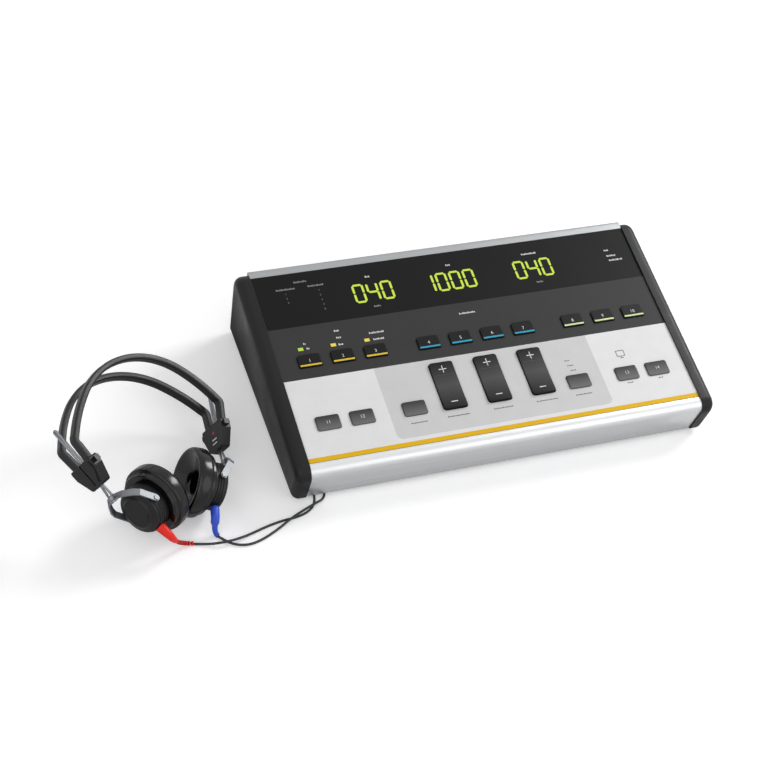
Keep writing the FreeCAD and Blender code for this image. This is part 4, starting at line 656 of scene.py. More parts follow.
def surface_height(node: str, u: float, v: float) -> float:
    """Height in millimetres of a CAD node's upper face above the panel at (u, v).

    Args:
        node: CAD node.
        u: Place across the panel.
        v: Place down the slope.

    Returns:
        Height above the panel's plane, with a hair's clearance.
    """
    back = PANEL.matrix().inverted()
    mesh = frame["nodes"][node].data
    tree = BVHTree.FromPolygons([back @ vertex.co for vertex in mesh.vertices],
                                [tuple(polygon.vertices) for polygon in mesh.polygons])
    met = tree.ray_cast(mm(u, -v, ABOVE_PANEL), Vector((0.0, 0.0, -1.0)))[0]
    return met.z / MM + PRINT_LIFT


class Stamp(Enum):
    """Shape that a pattern repeats; one unit wide, scaled at each point."""

    BAR = "GeometryNodeMeshCube"
    DISC = "GeometryNodeMeshCylinder"
    SEGMENT = "segment"


@dataclass
class Mark:
    """One repeat: its centre, its turn and its size."""

    centre: Vector
    size: Vector
    turn: tuple[float, float, float]


@dataclass
class Pattern:
    """A set of repeats of one stamp, made by Geometry Nodes into one plain piece."""

    name: str
    stamp: Stamp
    finish: Finish
    marks: list[Mark] = field(default_factory=list)

    def tree(self) -> bpy.types.NodeTree:
        """Geometry tree that puts the stamp on each point, turned and scaled by its attributes."""
        graph, start, end = new_group(self.name + "_pattern", "GeometryNodeTree",
                                      [("Geometry", "NodeSocketGeometry", None),
                                       ("Sides", "NodeSocketInt", 24),
                                       ("Finish", "NodeSocketMaterial", None)],
                                      [("Geometry", "NodeSocketGeometry")])
        shape = self.shape(graph, start)
        turn = graph.add("GeometryNodeInputNamedAttribute", {"Name": "turn"}, data_type="FLOAT_VECTOR")
        size = graph.add("GeometryNodeInputNamedAttribute", {"Name": "size"}, data_type="FLOAT_VECTOR")
        stamped = graph.add("GeometryNodeInstanceOnPoints",
                            {"Points": start.outputs[0], "Instance": shape,
                             "Rotation": turn.outputs[0], "Scale": size.outputs[0]})
        real = graph.add("GeometryNodeRealizeInstances", {0: stamped.outputs[0]})
        dressed = graph.add("GeometryNodeSetMaterial",
                            {"Geometry": real.outputs[0], "Material": start.outputs[2]})
        graph.feed(end.inputs[0], dressed.outputs[0])
        return graph.tree

    def shape(self, graph: Graph, start: bpy.types.Node) -> bpy.types.NodeSocket:
        """The stamp's own geometry, one unit in size."""
        if self.stamp is Stamp.BAR:
            return graph.add("GeometryNodeMeshCube", {"Size": (1.0, 1.0, 1.0)}).outputs[0]
        if self.stamp is Stamp.DISC:
            return graph.add("GeometryNodeMeshCylinder",
                             {"Vertices": start.outputs[1], "Radius": 0.5, "Depth": 1.0}).outputs[0]
        prism = graph.add("GeometryNodeMeshCylinder", {"Vertices": 6, "Radius": 1.0, "Depth": 1.0})
        x, y, z = graph.parts(graph.add("GeometryNodeInputPosition").outputs[0])
        inset = graph.math("SUBTRACT", graph.math("ABSOLUTE", x), 0.5)
        reach = graph.math("MULTIPLY_ADD", inset, 0.2, 0.4)
        place = graph.add("ShaderNodeCombineXYZ", {0: graph.math("MULTIPLY", graph.math("SIGN", x), reach),
                                                   1: graph.math("MULTIPLY", y, HEXAGON_FLAT), 2: z})
        return graph.add("GeometryNodeSetPosition", {"Geometry": prism.outputs[0],
                                                     "Position": place.outputs[0]}).outputs[0]

    def make(self, body: str, sides: int = 24) -> bpy.types.Object:
        """Builds the piece and lets it ride on its body.

        Args:
            body: CAD body that carries it.
            sides: Steps round a disc.

        Returns:
            The finished piece.
        """
        mesh = bpy.data.meshes.new(self.name + "_points")
        mesh.from_pydata([tuple(m.centre) for m in self.marks], [], [])
        for label in ("turn", "size"):
            values = [getattr(mark, label) for mark in self.marks]
            attribute = mesh.attributes.new(label, "FLOAT_VECTOR", "POINT")
            attribute.data.foreach_set("vector", [number for value in values for number in value])
        carrier = add_object(self.name + "_points", mesh)
        modifier = carrier.modifiers.new("pattern", "NODES")
        modifier.node_group = self.tree()
        sockets = {item.name: item.identifier for item in modifier.node_group.interface.items_tree
                   if item.item_type == "SOCKET" and item.in_out == "INPUT"}
        modifier[sockets["Sides"]] = sides
        modifier[sockets["Finish"]] = self.finish.material()
        return fit(plain_mesh(carrier, self.name), self.finish, body)

    def panel_bar(self, u: float, v: float, width: float, length: float, h: float = 0.32,
                  thick: float = 0.03, turn: float = 0.0) -> None:
        """Adds a flat mark on the panel, turned in its plane."""
        self.marks.append(Mark(PANEL.at(u, v, h), mm(width, length, thick), panel_turn(turn)))

    def face_bar(self, node: str, u: float, v: float, width: float, length: float) -> None:
        """Adds a mark on a cap's curved face, in short lengths that follow it."""
        count = max(1, math.ceil(length / FACE_STEP))
        step = length / count
        for index in range(count):
            place = v - length / 2 + step * (index + 0.5)
            heights = [surface_height(node, u + side * width / 2, place + end * step / 2)
                       for side in (-1, 0, 1) for end in (-1, 1)]
            self.panel_bar(u, place, width, step * 1.02, max(heights))


def panel_turn(angle: float = 0.0) -> tuple[float, float, float]:
    """Euler turn of something that lies in the panel's plane, turned by an angle in it."""
    turned = Matrix.Rotation(math.radians(PANEL.slope), 3, "X") @ Matrix.Rotation(math.radians(angle), 3, "Z")
    return tuple(turned.to_euler("XYZ"))


@dataclass
class Numerals:
    """Plain printed numbers, set from the built-in font and made one mesh."""

    name: str
    finish: Finish
    entries: list[tuple[str, float, float, float, float]] = field(default_factory=list)
    thick: float = 0.03

    def put(self, text: str, u: float, v: float, size: float, h: float = 0.31) -> None:
        """Adds a number at a place on the panel, size being the letter height in millimetres."""
        self.entries.append((text, u, v, size, h))

    def make(self, body: str) -> bpy.types.Object:
        """Builds the numbers and lets them ride on a body."""
        joined = bmesh.new()
        for text, u, v, size, h in self.entries:
            data = bpy.data.curves.new(self.name, "FONT")
            data.body = text
            data.size = size * MM * TYPE_SIZE
            data.extrude = self.thick * MM / 2
            data.align_x = data.align_y = "CENTER"
            data.resolution_u = 3
            carrier = bpy.data.objects.new(self.name, data)
            carrier.matrix_world = PANEL.matrix() @ Matrix.Translation(mm(u, -v, h))
            bpy.context.scene.collection.objects.link(carrier)
            number = plain_mesh(carrier, self.name)
            joined.from_mesh(number.data)
            bpy.data.objects.remove(number)
        mesh = bpy.data.meshes.new(self.name)
        joined.to_mesh(mesh)
        joined.free()
        return fit(add_object(self.name, mesh), self.finish, body)


def tidy_cad(names: Iterable[str], finish: Finish) -> None:
    """Gives CAD nodes a finish and rounds the shading of their curved faces.

    Args:
        names: CAD nodes.
        finish: Their finish.
    """
    for name in names:
        node = frame["nodes"][name]
        finish.dress(node)
        for polygon in node.data.polygons:
            polygon.use_smooth = True
        weld = node.modifiers.new("weld", "WELD")
        weld.merge_threshold = CAD_WELD
        split = node.modifiers.new("split", "EDGE_SPLIT")
        split.split_angle = math.radians(CAD_SPLIT)


# ---------------------------------------------------------------- console
DIGIT_BARS = {
    "0": "abcdef", "1": "bc", "2": "abged", "3": "abgcd", "4": "fgbc",
    "5": "afgcd", "6": "afgedc", "7": "abc", "8": "abcdefg", "9": "abcdfg"}


@dataclass
class DisplayRow:
    """Seven-segment number: upright digits in a row on the panel."""

    text: str
    left: float
    top: float
    width: float = 11.8
    height: float = 22.2
    pitch: float = 14.2
    bar: float = 2.25
    lift: float = 0.36

    def marks(self) -> list[Mark]:
        """One segment mark for each lit bar."""
        found = []
        half_w, half_h = (self.width - self.bar) / 2, (self.height - self.bar) / 2
        long_bar, short_bar = half_h - 0.5, 2 * half_w - 0.5
        places = {"a": (0, -half_h, 0), "d": (0, half_h, 0), "g": (0, 0, 0),
                  "b": (half_w, -half_h / 2, 90), "c": (half_w, half_h / 2, 90),
                  "f": (-half_w, -half_h / 2, 90), "e": (-half_w, half_h / 2, 90)}
        for index, digit in enumerate(self.text):
            centre_u = self.left + self.width / 2 + index * self.pitch
            centre_v = self.top + self.height / 2
            for letter in DIGIT_BARS[digit]:
                du, dv, angle = places[letter]
                length = long_bar if angle else short_bar
                found.append(Mark(PANEL.at(centre_u + du, centre_v + dv, self.lift),
                                  mm(length, self.bar, 0.05), panel_turn(angle)))
        return found


LETTER_PITCH = 1.55
LETTER_SHARE = 0.66         # block's width in its pitch
LETTER_HEIGHTS = (1.0, 0.72, 0.86)


def nodes_of(*starts: str) -> list[str]:
    """Names of the CAD nodes that start so, in order."""
    return sorted(name for name in frame["nodes"] if name.startswith(starts))


def middle(node: str) -> Vector:
    """Middle of a CAD node's box, in metres."""
    low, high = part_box(node)
    return (low + high) / 2


@dataclass
class Console:
    """Console with its finishes, print, displays, lamps and key legends."""

    upper_v: float = 109.5
    lower_v: float = 178.2
    bar_drop: float = 5.3
    displays: tuple[DisplayRow, ...] = (
        DisplayRow("040", -102.4, 31.5), DisplayRow("1000", -31.1, 31.6), DisplayRow("040", 65.6, 30.8))
    # Captions: centre across the panel, place down it and width.
    white_captions: tuple[Point3, ...] = (
        (-83.3, 24.1, 5.0), (0.4, 23.7, 5.0), (87.0, 23.5, 16.0), (1.2, 82.3, 17.0), (-165.0, 90.0, 2.6),
        (-163.0, 95.6, 3.0), (-131.0, 80.7, 5.0), (-131.0, 88.6, 5.0), (-131.0, 96.4, 5.0),
        (-93.5, 88.9, 15.0), (-93.5, 96.5, 11.0), (169.0, 32.7, 5.0), (172.0, 39.7, 10.0),
        (175.0, 45.3, 15.0))
    grey_captions: tuple[Point3, ...] = (
        (-83.3, 59.4, 7.0), (86.8, 58.7, 7.0), (-166.0, 26.0, 19.0), (-136.0, 25.7, 16.0),
        (-149.8, 19.2, 13.0))
    dark_captions: tuple[Point3, ...] = (
        (-83.3, 193.5, 16.0), (-44.3, 193.0, 22.0), (0.5, 192.8, 20.0), (45.3, 192.6, 22.0),
        (83.3, 192.8, 17.0), (80.0, 153.6, 5.0), (81.6, 159.4, 7.0), (82.6, 165.2, 6.0), (134.0, 188.8, 6.0),
        (166.4, 188.8, 5.0))
    # Numbered columns: centre across, first row, distance between rows and number of rows.
    columns: tuple[tuple[float, float, float, int], ...] = ((-167.0, 31.6, 5.0, 3), (-134.0, 31.9, 5.6, 5))
    column_type: float = 2.0
    symbol: tuple[float, ...] = (136.2, 155.0, 8.0, 6.2, 0.7)       # screen: centre, width, height, line
    green_lamps: tuple[Point2, ...] = ((-170.0, 95.5),)
    yellow_lamps: tuple[Point2, ...] = ((-138.2, 96.0), (-105.0, 96.2))
    lamp_window: Point2 = (5.0, 3.4)
    key_bar: Point2 = (20.4, 1.8)
    key_type: float = 3.4
    upper_number_drop: float = 0.6
    lower_numbers_past: float = 100.0                               # the two inner lower keys stay bare
    socket_dot: Point3 = (42.5, 2.4, 1.2)                           # level, spacing and width of the dots

    def build(self) -> list[bpy.types.Object]:
        """Dresses the CAD nodes and adds every printed or lit piece.

        Returns:
            The pieces that were added.
        """
        self.dress_nodes()
        white = self.captions("white_legends", WHITE_PRINT, self.white_captions)
        pieces = [self.digits(), white.make("console"), self.dark_print(), *self.grey_print(), *self.lamps()]
        return pieces + self.key_marks() + self.rocker_marks() + self.rear_marks()

    @staticmethod
    def dress_nodes() -> None:
        """Finishes of the CAD nodes."""
        for finish, names in ((NOSE_METAL, ["front_profile"]), (REAR_METAL, ["rear_profile"]),
                              (CHEEK, ["left_cheek", "right_cheek"]), (OVERLAY, ["overlay"]),
                              (PANEL_SHEET, ["top_panel"]), (REAR_COAT, ["rear_panel"]),
                              (BASE_COAT, ["base_plate"]), (RUBBER, ["feet"]), (STEEL, ["case_screws"]),
                              (BOARD, ["keypad_board", "main_board"]), (SWITCH_CAP, ["tact_switches"]),
                              (DISPLAY_CASE, ["display_modules", "status_leds"]),
                              (SOCKET, ["rear_sockets", "power_switch_frame"]),
                              (POWER_CAP, ["power_switch"]), (KEY_GREY, nodes_of("key_lower")),
                              (KEY_BLACK, nodes_of("key_left", "key_middle", "key_right")),
                              (ROCKER, nodes_of("rocker_"))):
            tidy_cad(names, finish)

    def digits(self) -> bpy.types.Object:
        """Lit segments of the three displays."""
        pattern = Pattern("display_digits", Stamp.SEGMENT, DIGIT)
        for row in self.displays:
            pattern.marks += row.marks()
        return pattern.make("console")

    @staticmethod
    def captions(name: str, finish: Finish, places: Sequence[Point3], height: float = 2.0) -> Pattern:
        """Blank captions: a row of small blocks where the panel has a word.

        Args:
            name: Name of the pattern.
            finish: Its print.
            places: Centre across the panel, place down it and width of each caption.
            height: Height of the blocks.

        Returns:
            The pattern, not yet made.
        """
        pattern = Pattern(name, Stamp.BAR, finish)
        for u, v, width in places:
            count = max(2, round(width / LETTER_PITCH))
            step = width / count
            for index in range(count):
                tall = height * LETTER_HEIGHTS[index % len(LETTER_HEIGHTS)]
                place = u - width / 2 + step * (index + 0.5)
                pattern.panel_bar(place, v + (height - tall) / 2, step * LETTER_SHARE, tall)
        return pattern

    def grey_print(self) -> list[bpy.types.Object]:
        """Fainter print on the black band, with its numbered columns."""
        numbers = Numerals("column_numbers", GREY_PRINT)
        for u, v, pitch, count in self.columns:
            for row in range(count):
                numbers.put(str(row + 1), u, v + pitch * row, self.column_type)
        captions = self.captions("grey_legends", GREY_PRINT, self.grey_captions)
        return [captions.make("console"), numbers.make("console")]

    def dark_print(self) -> bpy.types.Object:
        """Dark print on the pale field, with the screen symbol."""
        pattern = self.captions("dark_legends", DARK_PRINT, self.dark_captions, 1.3)
        u, v, width, height, line = self.symbol
        for du, dv, size_u, size_v in ((0, -height / 2, width, line), (0, height / 2, width, line),
                                       (-width / 2, 0, line, height), (width / 2, 0, line, height),
                                       (0, height / 2 + 1.2, line, 1.8), (0, height / 2 + 2.2, 4.0, line)):
            pattern.panel_bar(u + du, v + dv, size_u, size_v)
        return pattern.make("console")

    def lamps(self) -> list[bpy.types.Object]:
        """Lit windows of the three status lamps."""
        pieces = []
        for name, finish, places in (("status_lamp_green", LAMP_GREEN, self.green_lamps),
                                     ("status_lamps_yellow", LAMP_YELLOW, self.yellow_lamps)):
            pattern = Pattern(name, Stamp.BAR, finish)
            for u, v in places:
                pattern.panel_bar(u, v, *self.lamp_window)
            pieces.append(pattern.make("console"))
        return pieces

    def key_marks(self) -> list[bpy.types.Object]:
        """Coloured bar and number of each key, riding on it."""
        pieces = []
        number = 0
        for row, finish in (("left", YELLOW_PRINT), ("middle", BLUE_PRINT), ("right", GREEN_PRINT)):
            for node in nodes_of(f"key_{row}"):
                number += 1
                bar = Pattern(f"{node}_bar", Stamp.BAR, finish)
                bar.face_bar(node, middle(node).x / MM, self.upper_v + self.bar_drop, *self.key_bar)
                pieces.append(bar.make(f"{node}_body"))
                pieces.append(self.key_number(node, number, self.upper_v + self.upper_number_drop))
        for node in nodes_of("key_lower"):
            if abs(middle(node).x) > self.lower_numbers_past * MM:
                number += 1
                pieces.append(self.key_number(node, number, self.lower_v))
        return pieces

    def key_number(self, node: str, number: int, v: float) -> bpy.types.Object:
        """Number on one key cap."""
        u = middle(node).x / MM
        printed = Numerals(f"{node}_number", WHITE_PRINT)
        printed.put(str(number), u, v, self.key_type, surface_height(node, u, v))
        return printed.make(f"{node}_body")

    def rocker_marks(self) -> list[bpy.types.Object]:
        """Plus, minus and dividing line of each rocker."""
        pieces = []
        for node in nodes_of("rocker_"):
            u = middle(node).x / MM
            for part, finish, bars in (
                    ("signs", WHITE_PRINT, ((142.2, 7.6, 0.9), (142.2, 0.9, 7.6), (178.6, 6.6, 0.9))),
                    ("line", DARK_PRINT, ((148.6, 19.6, 0.4),))):
                pattern = Pattern(f"{node}_{part}", Stamp.BAR, finish)
                for v, width, length in bars:
                    pattern.face_bar(node, u, v, width, length)
                pieces.append(pattern.make(f"{node}_body"))
        return pieces

    def rear_marks(self) -> list[bpy.types.Object]:
        """Plain dots above the free sockets, one for the first and one more for each that follows."""
        pattern = Pattern("socket_dots", Stamp.DISC, GREY_PRINT)
        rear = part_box("rear_panel")[1].y / MM + PRINT_LIFT
        level, pitch, width = self.socket_dot
        sockets = [mount for mount in frame["record"]["mounts"] if mount["name"].endswith("_socket")]
        for index, x in enumerate(sorted(mount["pos_m"][0] / MM for mount in sockets)):
            for dot in range(index + 1):
                place = mm(x + (dot - index / 2) * pitch, rear, level)
                pattern.marks.append(Mark(place, mm(width, width, 0.05), (math.radians(90), 0.0, 0.0)))
        return [pattern.make("console", 16)]


# ---------------------------------------------------------------- headset
JOINTS = {joint["name"]: joint for joint in frame["joints"]}
TILT_REST = {"left": 0.4, "right": -8.5}
SWIVEL_REST = {"left": 1.0, "right": 3.1}
BLOCK_REACH = 24.5          # block's middle above the place where its rod comes out
BLOCK_FACE = 5.0            # block's inner face before its middle


def placement(origin: Vector, y_axis: Vector, z_axis: Vector) -> Matrix:
    """Frame from its origin and two axes; x completes them."""
    turn = Matrix((y_axis.cross(z_axis), y_axis, z_axis)).transposed()
    return Matrix.Translation(origin) @ turn.to_4x4()


def ear_frame(side: str) -> Matrix:
    """Earphone's frame: y along the tilt's axis, x towards the ear, z up the headset."""
    tilt = JOINTS[f"{side}_tilt"]
    y_axis = Vector(tilt["axis"])
    level = -Vector(JOINTS[f"{side}_rod_slide"]["axis"])
    z_axis = Matrix.Rotation(math.radians(TILT_REST[side]), 3, y_axis) @ level
    return placement(Vector(tilt["pos_m"]), y_axis, z_axis)


def block_face(side: str) -> Matrix:
    """Frame on a block's inner face: z along the rod, x out of the face."""
    slide = JOINTS[f"{side}_rod_slide"]
    z_axis = -Vector(slide["axis"])
    swivel = Matrix.Rotation(math.radians(SWIVEL_REST[side]), 3, z_axis)
    y_axis = swivel @ Vector(JOINTS[f"{side}_tilt"]["axis"])
    centre = Vector(slide["pos_m"]) + z_axis * (BLOCK_REACH * MM)
    return placement(centre, y_axis, z_axis) @ Matrix.Translation(mm(BLOCK_FACE, 0.0, 0.0))


@dataclass
class EarCushion:
    """Rubber ear cushion: stepped skirt, rolled rim and a smooth funnel to the ear."""

    side: str
    # Section: place towards the ear, and radius.
    profile: tuple[Point2, ...] = (
        (8.5, 16.6), (8.35, 20.0), (8.35, 26.6), (8.9, 27.7), (10.0, 28.0), (12.2, 28.0), (13.0, 28.3),
        (13.3, 29.0), (13.5, 30.0), (14.2, 30.9), (15.6, 31.3), (19.5, 31.3), (23.0, 31.2), (25.2, 30.6),
        (26.3, 29.3), (26.5, 27.9), (26.0, 26.4), (24.6, 23.2), (22.6, 18.6), (20.6, 14.2), (18.9, 11.2),
        (17.6, 9.9), (16.0, 9.6), (12.0, 9.6), (10.4, 9.8), (10.2, 12.0), (10.1, 16.4), (9.6, 16.6))

    def build(self) -> bpy.types.Object:
        """Makes the cushion in place of its CAD solid."""
        piece = lathe(f"{self.side}_ear_cushion", self.profile, ear_frame(self.side), CUSHION_SIDES)
        modifier = piece.modifiers.new("round", "SUBSURF")
        modifier.levels = modifier.render_levels = 1
        piece = plain_mesh(piece, f"{self.side}_ear_cushion")
        for polygon in piece.data.polygons:
            polygon.use_smooth = True
        fit(piece, CUSHION, f"{self.side}_earphone_body", f"{self.side}_cushion")
        return piece


def bezier(points: Sequence[Vector], share: float) -> Vector:
    """Point of a cubic curve."""
    rest = 1 - share
    a, b, c, d = points
    return a * rest ** 3 + b * (3 * rest * rest * share) + c * (3 * rest * share * share) + d * share ** 3


PLUG_SIDES = 28
PLUG_SEAT = 21.3            # from the earphone's axis to the plug's start
PLUG_SHIFT = -1.0           # plug's place along the earphone's axis
SMOOTH_BOOT = ((0.0, 3.6), (0.08, 4.1), (0.52, 3.8), (0.60, 2.7), (1.0, 2.2))       # share, radius
RIB_SHARE = 0.50            # where the boot's ribs start
RIB_RADIUS = 2.05
GROOVE_RADIUS = 1.2
GROOVE_SHARE = 0.42         # groove's part of one rib and groove
TIP_LIFT = 0.75             # boot's tip above the lead's first point, so that its ribs clear the floor


@dataclass
class PlugBoot:
    """Moulded plug of a lead: stout body in the earphone and a boot down to the lead."""

    side: str
    angle: float                # how far the plug leans off the earphone's z axis, in degrees
    body: float                 # length of the straight part
    pull: Point2                # how stiffly the boot leaves the body and meets the lead
    finish: Finish
    route: list[Point3]
    ribs: int = 0
    steps: int = 90
    body_steps: int = 12

    def line(self) -> list[Vector]:
        """Centreline from inside the earphone to the lead's first point."""
        ear = ear_frame(self.side)
        lean = math.radians(self.angle)
        local = Vector((0.0, -math.sin(lean), -math.cos(lean)))
        seat = ear @ (local * (PLUG_SEAT * MM) + mm(PLUG_SHIFT, 0.0, 0.0))
        body = ear.to_3x3() @ local * (self.body * MM)
        first, second = mm(*self.route[0]), mm(*self.route[1])
        tip = first + mm(0.0, 0.0, TIP_LIFT)
        reach = (tip - seat - body).length
        curve = [seat + body, seat + body + body.normalized() * (reach * self.pull[0]),
                 tip - (second - first).normalized() * (reach * self.pull[1]), tip]
        straight = [seat + body * (step / self.body_steps) for step in range(self.body_steps)]
        return straight + [bezier(curve, step / self.steps) for step in range(self.steps + 1)]

    def in_groove(self, share: float) -> bool:
        """Whether a share of the length lies in a groove between two ribs."""
        place = self.ribs * (share - RIB_SHARE) / (1 - RIB_SHARE)
        return self.ribs > 0 and place > 0 and place % 1.0 < GROOVE_SHARE

    def radius(self, share: float) -> float:
        """Radius in millimetres at a share of the length."""
        if self.ribs and share < RIB_SHARE:
            return 4.9 - 3.5 * (share / 0.62) ** 1.1
        if self.ribs:
            return GROOVE_RADIUS if self.in_groove(share) else RIB_RADIUS
        for (low, start), (high, end) in zip(SMOOTH_BOOT, SMOOTH_BOOT[1:]):
            if share < high:
                return start + (end - start) * (share - low) / (high - low)
        return SMOOTH_BOOT[-1][1]

    def build(self) -> bpy.types.Object:
        """Makes the plug in place of its CAD solid."""
        line = self.line()
        lengths = [0.0]
        for before, after in zip(line, line[1:]):
            lengths.append(lengths[-1] + (after - before).length)
        shares = [length / lengths[-1] for length in lengths]
        piece = sweep(f"{self.side}_lead_plug", line, lambda i: self.radius(shares[i]) * MM, PLUG_SIDES)
        fit(piece, self.finish, f"{self.side}_earphone_body", f"{self.side}_plug")
        # The groove faces take the darker red as painted shade between the ribs.
        piece.data.materials.append(GROOVE_PAINTED_SHADE.material())
        for polygon in piece.data.polygons:
            ring = min(polygon.index // PLUG_SIDES, len(shares) - 1)
            polygon.material_index = int(self.in_groove(shares[ring]))
        return piece


@dataclass
class Headset:
    """Headset: finishes of its bands, blocks, rods, yokes and cases, with cushions and the right block's marks."""

    def build(self) -> list[bpy.types.Object]:
        """Dresses the CAD nodes and makes the softer pieces.

        Returns:
            The pieces that were added.
        """
        tidy_cad(["front_band", "rear_band"], BAND_SLEEVE)
        pieces = []
        for side in ("left", "right"):
            tidy_cad([f"{side}_block"], BLOCK_PLASTIC)
            tidy_cad([f"{side}_rod", f"{side}_yoke"], CHROME)
            tidy_cad([f"{side}_housing", f"{side}_cap"], HOUSING)
            pieces.append(EarCushion(side).build())
        return pieces + self.block_marks()

    @staticmethod
    def block_marks() -> list[bpy.types.Object]:
        """Dot and two blank bars on the right block's inner face."""
        face = block_face("right")
        pieces = []
        for name, stamp, finish, size, places in (
                ("right_block_dot", Stamp.DISC, RED_PRINT, (0.06, 3.0, 3.0), ((1.2, -7.6),)),
                ("right_block_bars", Stamp.BAR, WHITE_PRINT, (0.06, 7.2, 1.2),
                 ((1.2, -14.2), (0.8, -18.05)))):
            turn = face.to_3x3()
            if stamp is Stamp.DISC:
                turn, size = turn @ Matrix.Rotation(math.radians(90), 3, "Y"), size[::-1]
            pattern = Pattern(name, stamp, finish)
            for across, level in places:
                place = face @ mm(PRINT_LIFT, across, level)
                pattern.marks.append(Mark(place, mm(*size), tuple(turn.to_euler())))
            pieces.append(pattern.make("console", 32))
        return pieces


# ---------------------------------------------------------------- leads
LEAD_RADIUS = 1.15
FLOOR_LEVEL = LEAD_RADIUS + 0.2
CROSSING_LEVEL = 4.4
COIL_HEIGHT = 5.9
COIL_RADIUS = 14.0
TURN_POINTS = 14
STEP_OVER = 0.72            # share of a turn after which it steps over to the next
TAIL_LENGTH = 0.034
TIE_SIDES = 36
TIE_INNER, TIE_OUTER = 5.95, 6.55       # radii of the strap round the coil
TIE_HALF = 3.0                          # half its width
TIE_REST = {TIE_INNER: 0.14, TIE_OUTER: 0.06}       # lowest level of its inner and outer face
RISE_SHAPE = ((166.8, 11.6), (168.6, 14.0), (166.3, 22.0), (159.3, 30.0), (155.0, 30.0), (150.3, 30.0))


@dataclass
class Lead:
    """One earphone lead: tails at the headset, floor run, stored coil and rise to its jack."""

    side: str
    route: tuple[Point2, ...]
    crossing: range                 # points of the route that pass over the other lead
    coil_centre: Point2
    coil_start: float
    coil_end: float
    winding: int                    # 1 or -1, the way that the coil turns
    rise_x: tuple[float, ...]

    def floor_run(self) -> list[Point3]:
        """The route, on the floor or over the other lead."""
        return [(x, y, CROSSING_LEVEL if index in self.crossing else FLOOR_LEVEL)
                for index, (x, y) in enumerate(self.route)]

    def coil_points(self) -> list[Point3]:
        """Turns of the coil, laid row on row from the floor up."""
        pitch = 2 * LEAD_RADIUS
        turns = [((index - (count - 1) / 2) * pitch * way, level * pitch)
                 for level, count, way in ((-2, 1, 1), (-1, 4, -1), (0, 5, 1), (1, 4, -1), (2, 1, 1))
                 for index in range(count)]
        turns.append(turns[-1])
        points = []
        span = (self.coil_end - self.coil_start) * self.winding % 360
        total = (len(turns) - 2) * TURN_POINTS + round(span / 360 * TURN_POINTS)
        for step in range(total + 1):
            turn, part = divmod(step, TURN_POINTS)
            share = max(0.0, (part / TURN_POINTS - STEP_OVER) / (1 - STEP_OVER))
            here, following = turns[turn], turns[min(turn + 1, len(turns) - 1)]
            ease = share * share * (3 - 2 * share)
            offset = here[0] + (following[0] - here[0]) * ease
            level = here[1] + (following[1] - here[1]) * ease
            angle = math.radians(self.coil_start + self.winding * 360 * step / TURN_POINTS)
            radius = COIL_RADIUS + offset
            points.append((self.coil_centre[0] + radius * math.cos(angle),
                           self.coil_centre[1] + radius * math.sin(angle), COIL_HEIGHT + level))
        return points

    def centreline(self) -> list[Vector]:
        """Smooth line of the whole lead, read from its spline."""
        rise = [(x, y, z) for x, (y, z) in zip(self.rise_x, RISE_SHAPE)]
        points = self.floor_run() + self.coil_points() + rise
        data = bpy.data.curves.new(f"{self.side}_lead_route", "CURVE")
        data.dimensions = "3D"
        data.resolution_u = 6
        spline = data.splines.new("NURBS")
        spline.points.add(len(points) - 1)
        for control, point in zip(spline.points, points):
            control.co = (*mm(*point), 1.0)
        spline.order_u = 3
        spline.use_endpoint_u = True
        route = bpy.data.objects.new(f"{self.side}_lead_route", data)
        bpy.context.scene.collection.objects.link(route)
        route = plain_mesh(route, route.name)
        line = [vertex.co.copy() for vertex in route.data.vertices]
        bpy.data.objects.remove(route)
        return line

    def split(self, line: list[Vector]) -> list[list[Vector]]:
        """Cuts the line into three tails and the rest, with shared ends."""
        pieces: list[list[Vector]] = []
        current = [line[0]]
        run = 0.0
        for before, after in zip(line, line[1:]):
            step = (after - before).length
            while len(pieces) < TAILS and run + step >= TAIL_LENGTH:
                cut = before.lerp(after, (TAIL_LENGTH - run) / step)
                pieces.append(current + [cut])
                current = [cut]
                before, step, run = cut, (after - cut).length, 0.0
            run += step
            if (after - current[-1]).length > SAME_POINT:
                current.append(after)
        return pieces + [current]

    def build(self) -> list[bpy.types.Object]:
        """Returns:
            The three tails, the long lead and the coil's tie.
        """
        side = self.side
        parts = self.split(self.centreline())
        pieces = []
        for index, line in enumerate(parts):
            name = f"{side}_lead" + (f"_tail_{index + 1}" if index < TAILS else "_run")
            tail = index < TAILS
            piece = sweep(name, line, lambda _: LEAD_RADIUS * MM, 12 if tail else 8)
            LEAD.dress(piece)
            if tail:
                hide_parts(f"{side}_lead")
                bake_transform(piece)
            else:
                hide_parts(f"{side}_lead", f"{side}_coil")
                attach(piece, "console")
            pieces.append(piece)
        pieces.append(self.tie())
        return pieces

    def tie(self) -> bpy.types.Object:
        """Strap that holds the coil together."""
        angle = math.radians(self.coil_start + 120 * self.winding)
        centre = Vector((self.coil_centre[0] + COIL_RADIUS * math.cos(angle),
                         self.coil_centre[1] + COIL_RADIUS * math.sin(angle), COIL_HEIGHT))
        outward = Vector((math.cos(angle), math.sin(angle), 0.0))
        along = Vector((-math.sin(angle), math.cos(angle), 0.0))
        points, faces = [], []
        for step in range(TIE_SIDES):
            turn = 2 * math.pi * step / TIE_SIDES
            spoke = outward * math.cos(turn) + Vector((0, 0, 1)) * math.sin(turn)
            for reach, shift in ((TIE_INNER, -TIE_HALF), (TIE_OUTER, -TIE_HALF),
                                 (TIE_OUTER, TIE_HALF), (TIE_INNER, TIE_HALF)):
                place = centre + spoke * reach + along * shift
                place.z = max(place.z, TIE_REST[reach])
                points.append(place * MM)
            base, following = step * 4, (step + 1) % TIE_SIDES * 4
            for corner in range(4):
                other = (corner + 1) % 4
                faces.append([base + corner, base + other, following + other, following + corner])
        return fit(mesh_of(f"{self.side}_coil_tie", points, faces), TIE, "console")


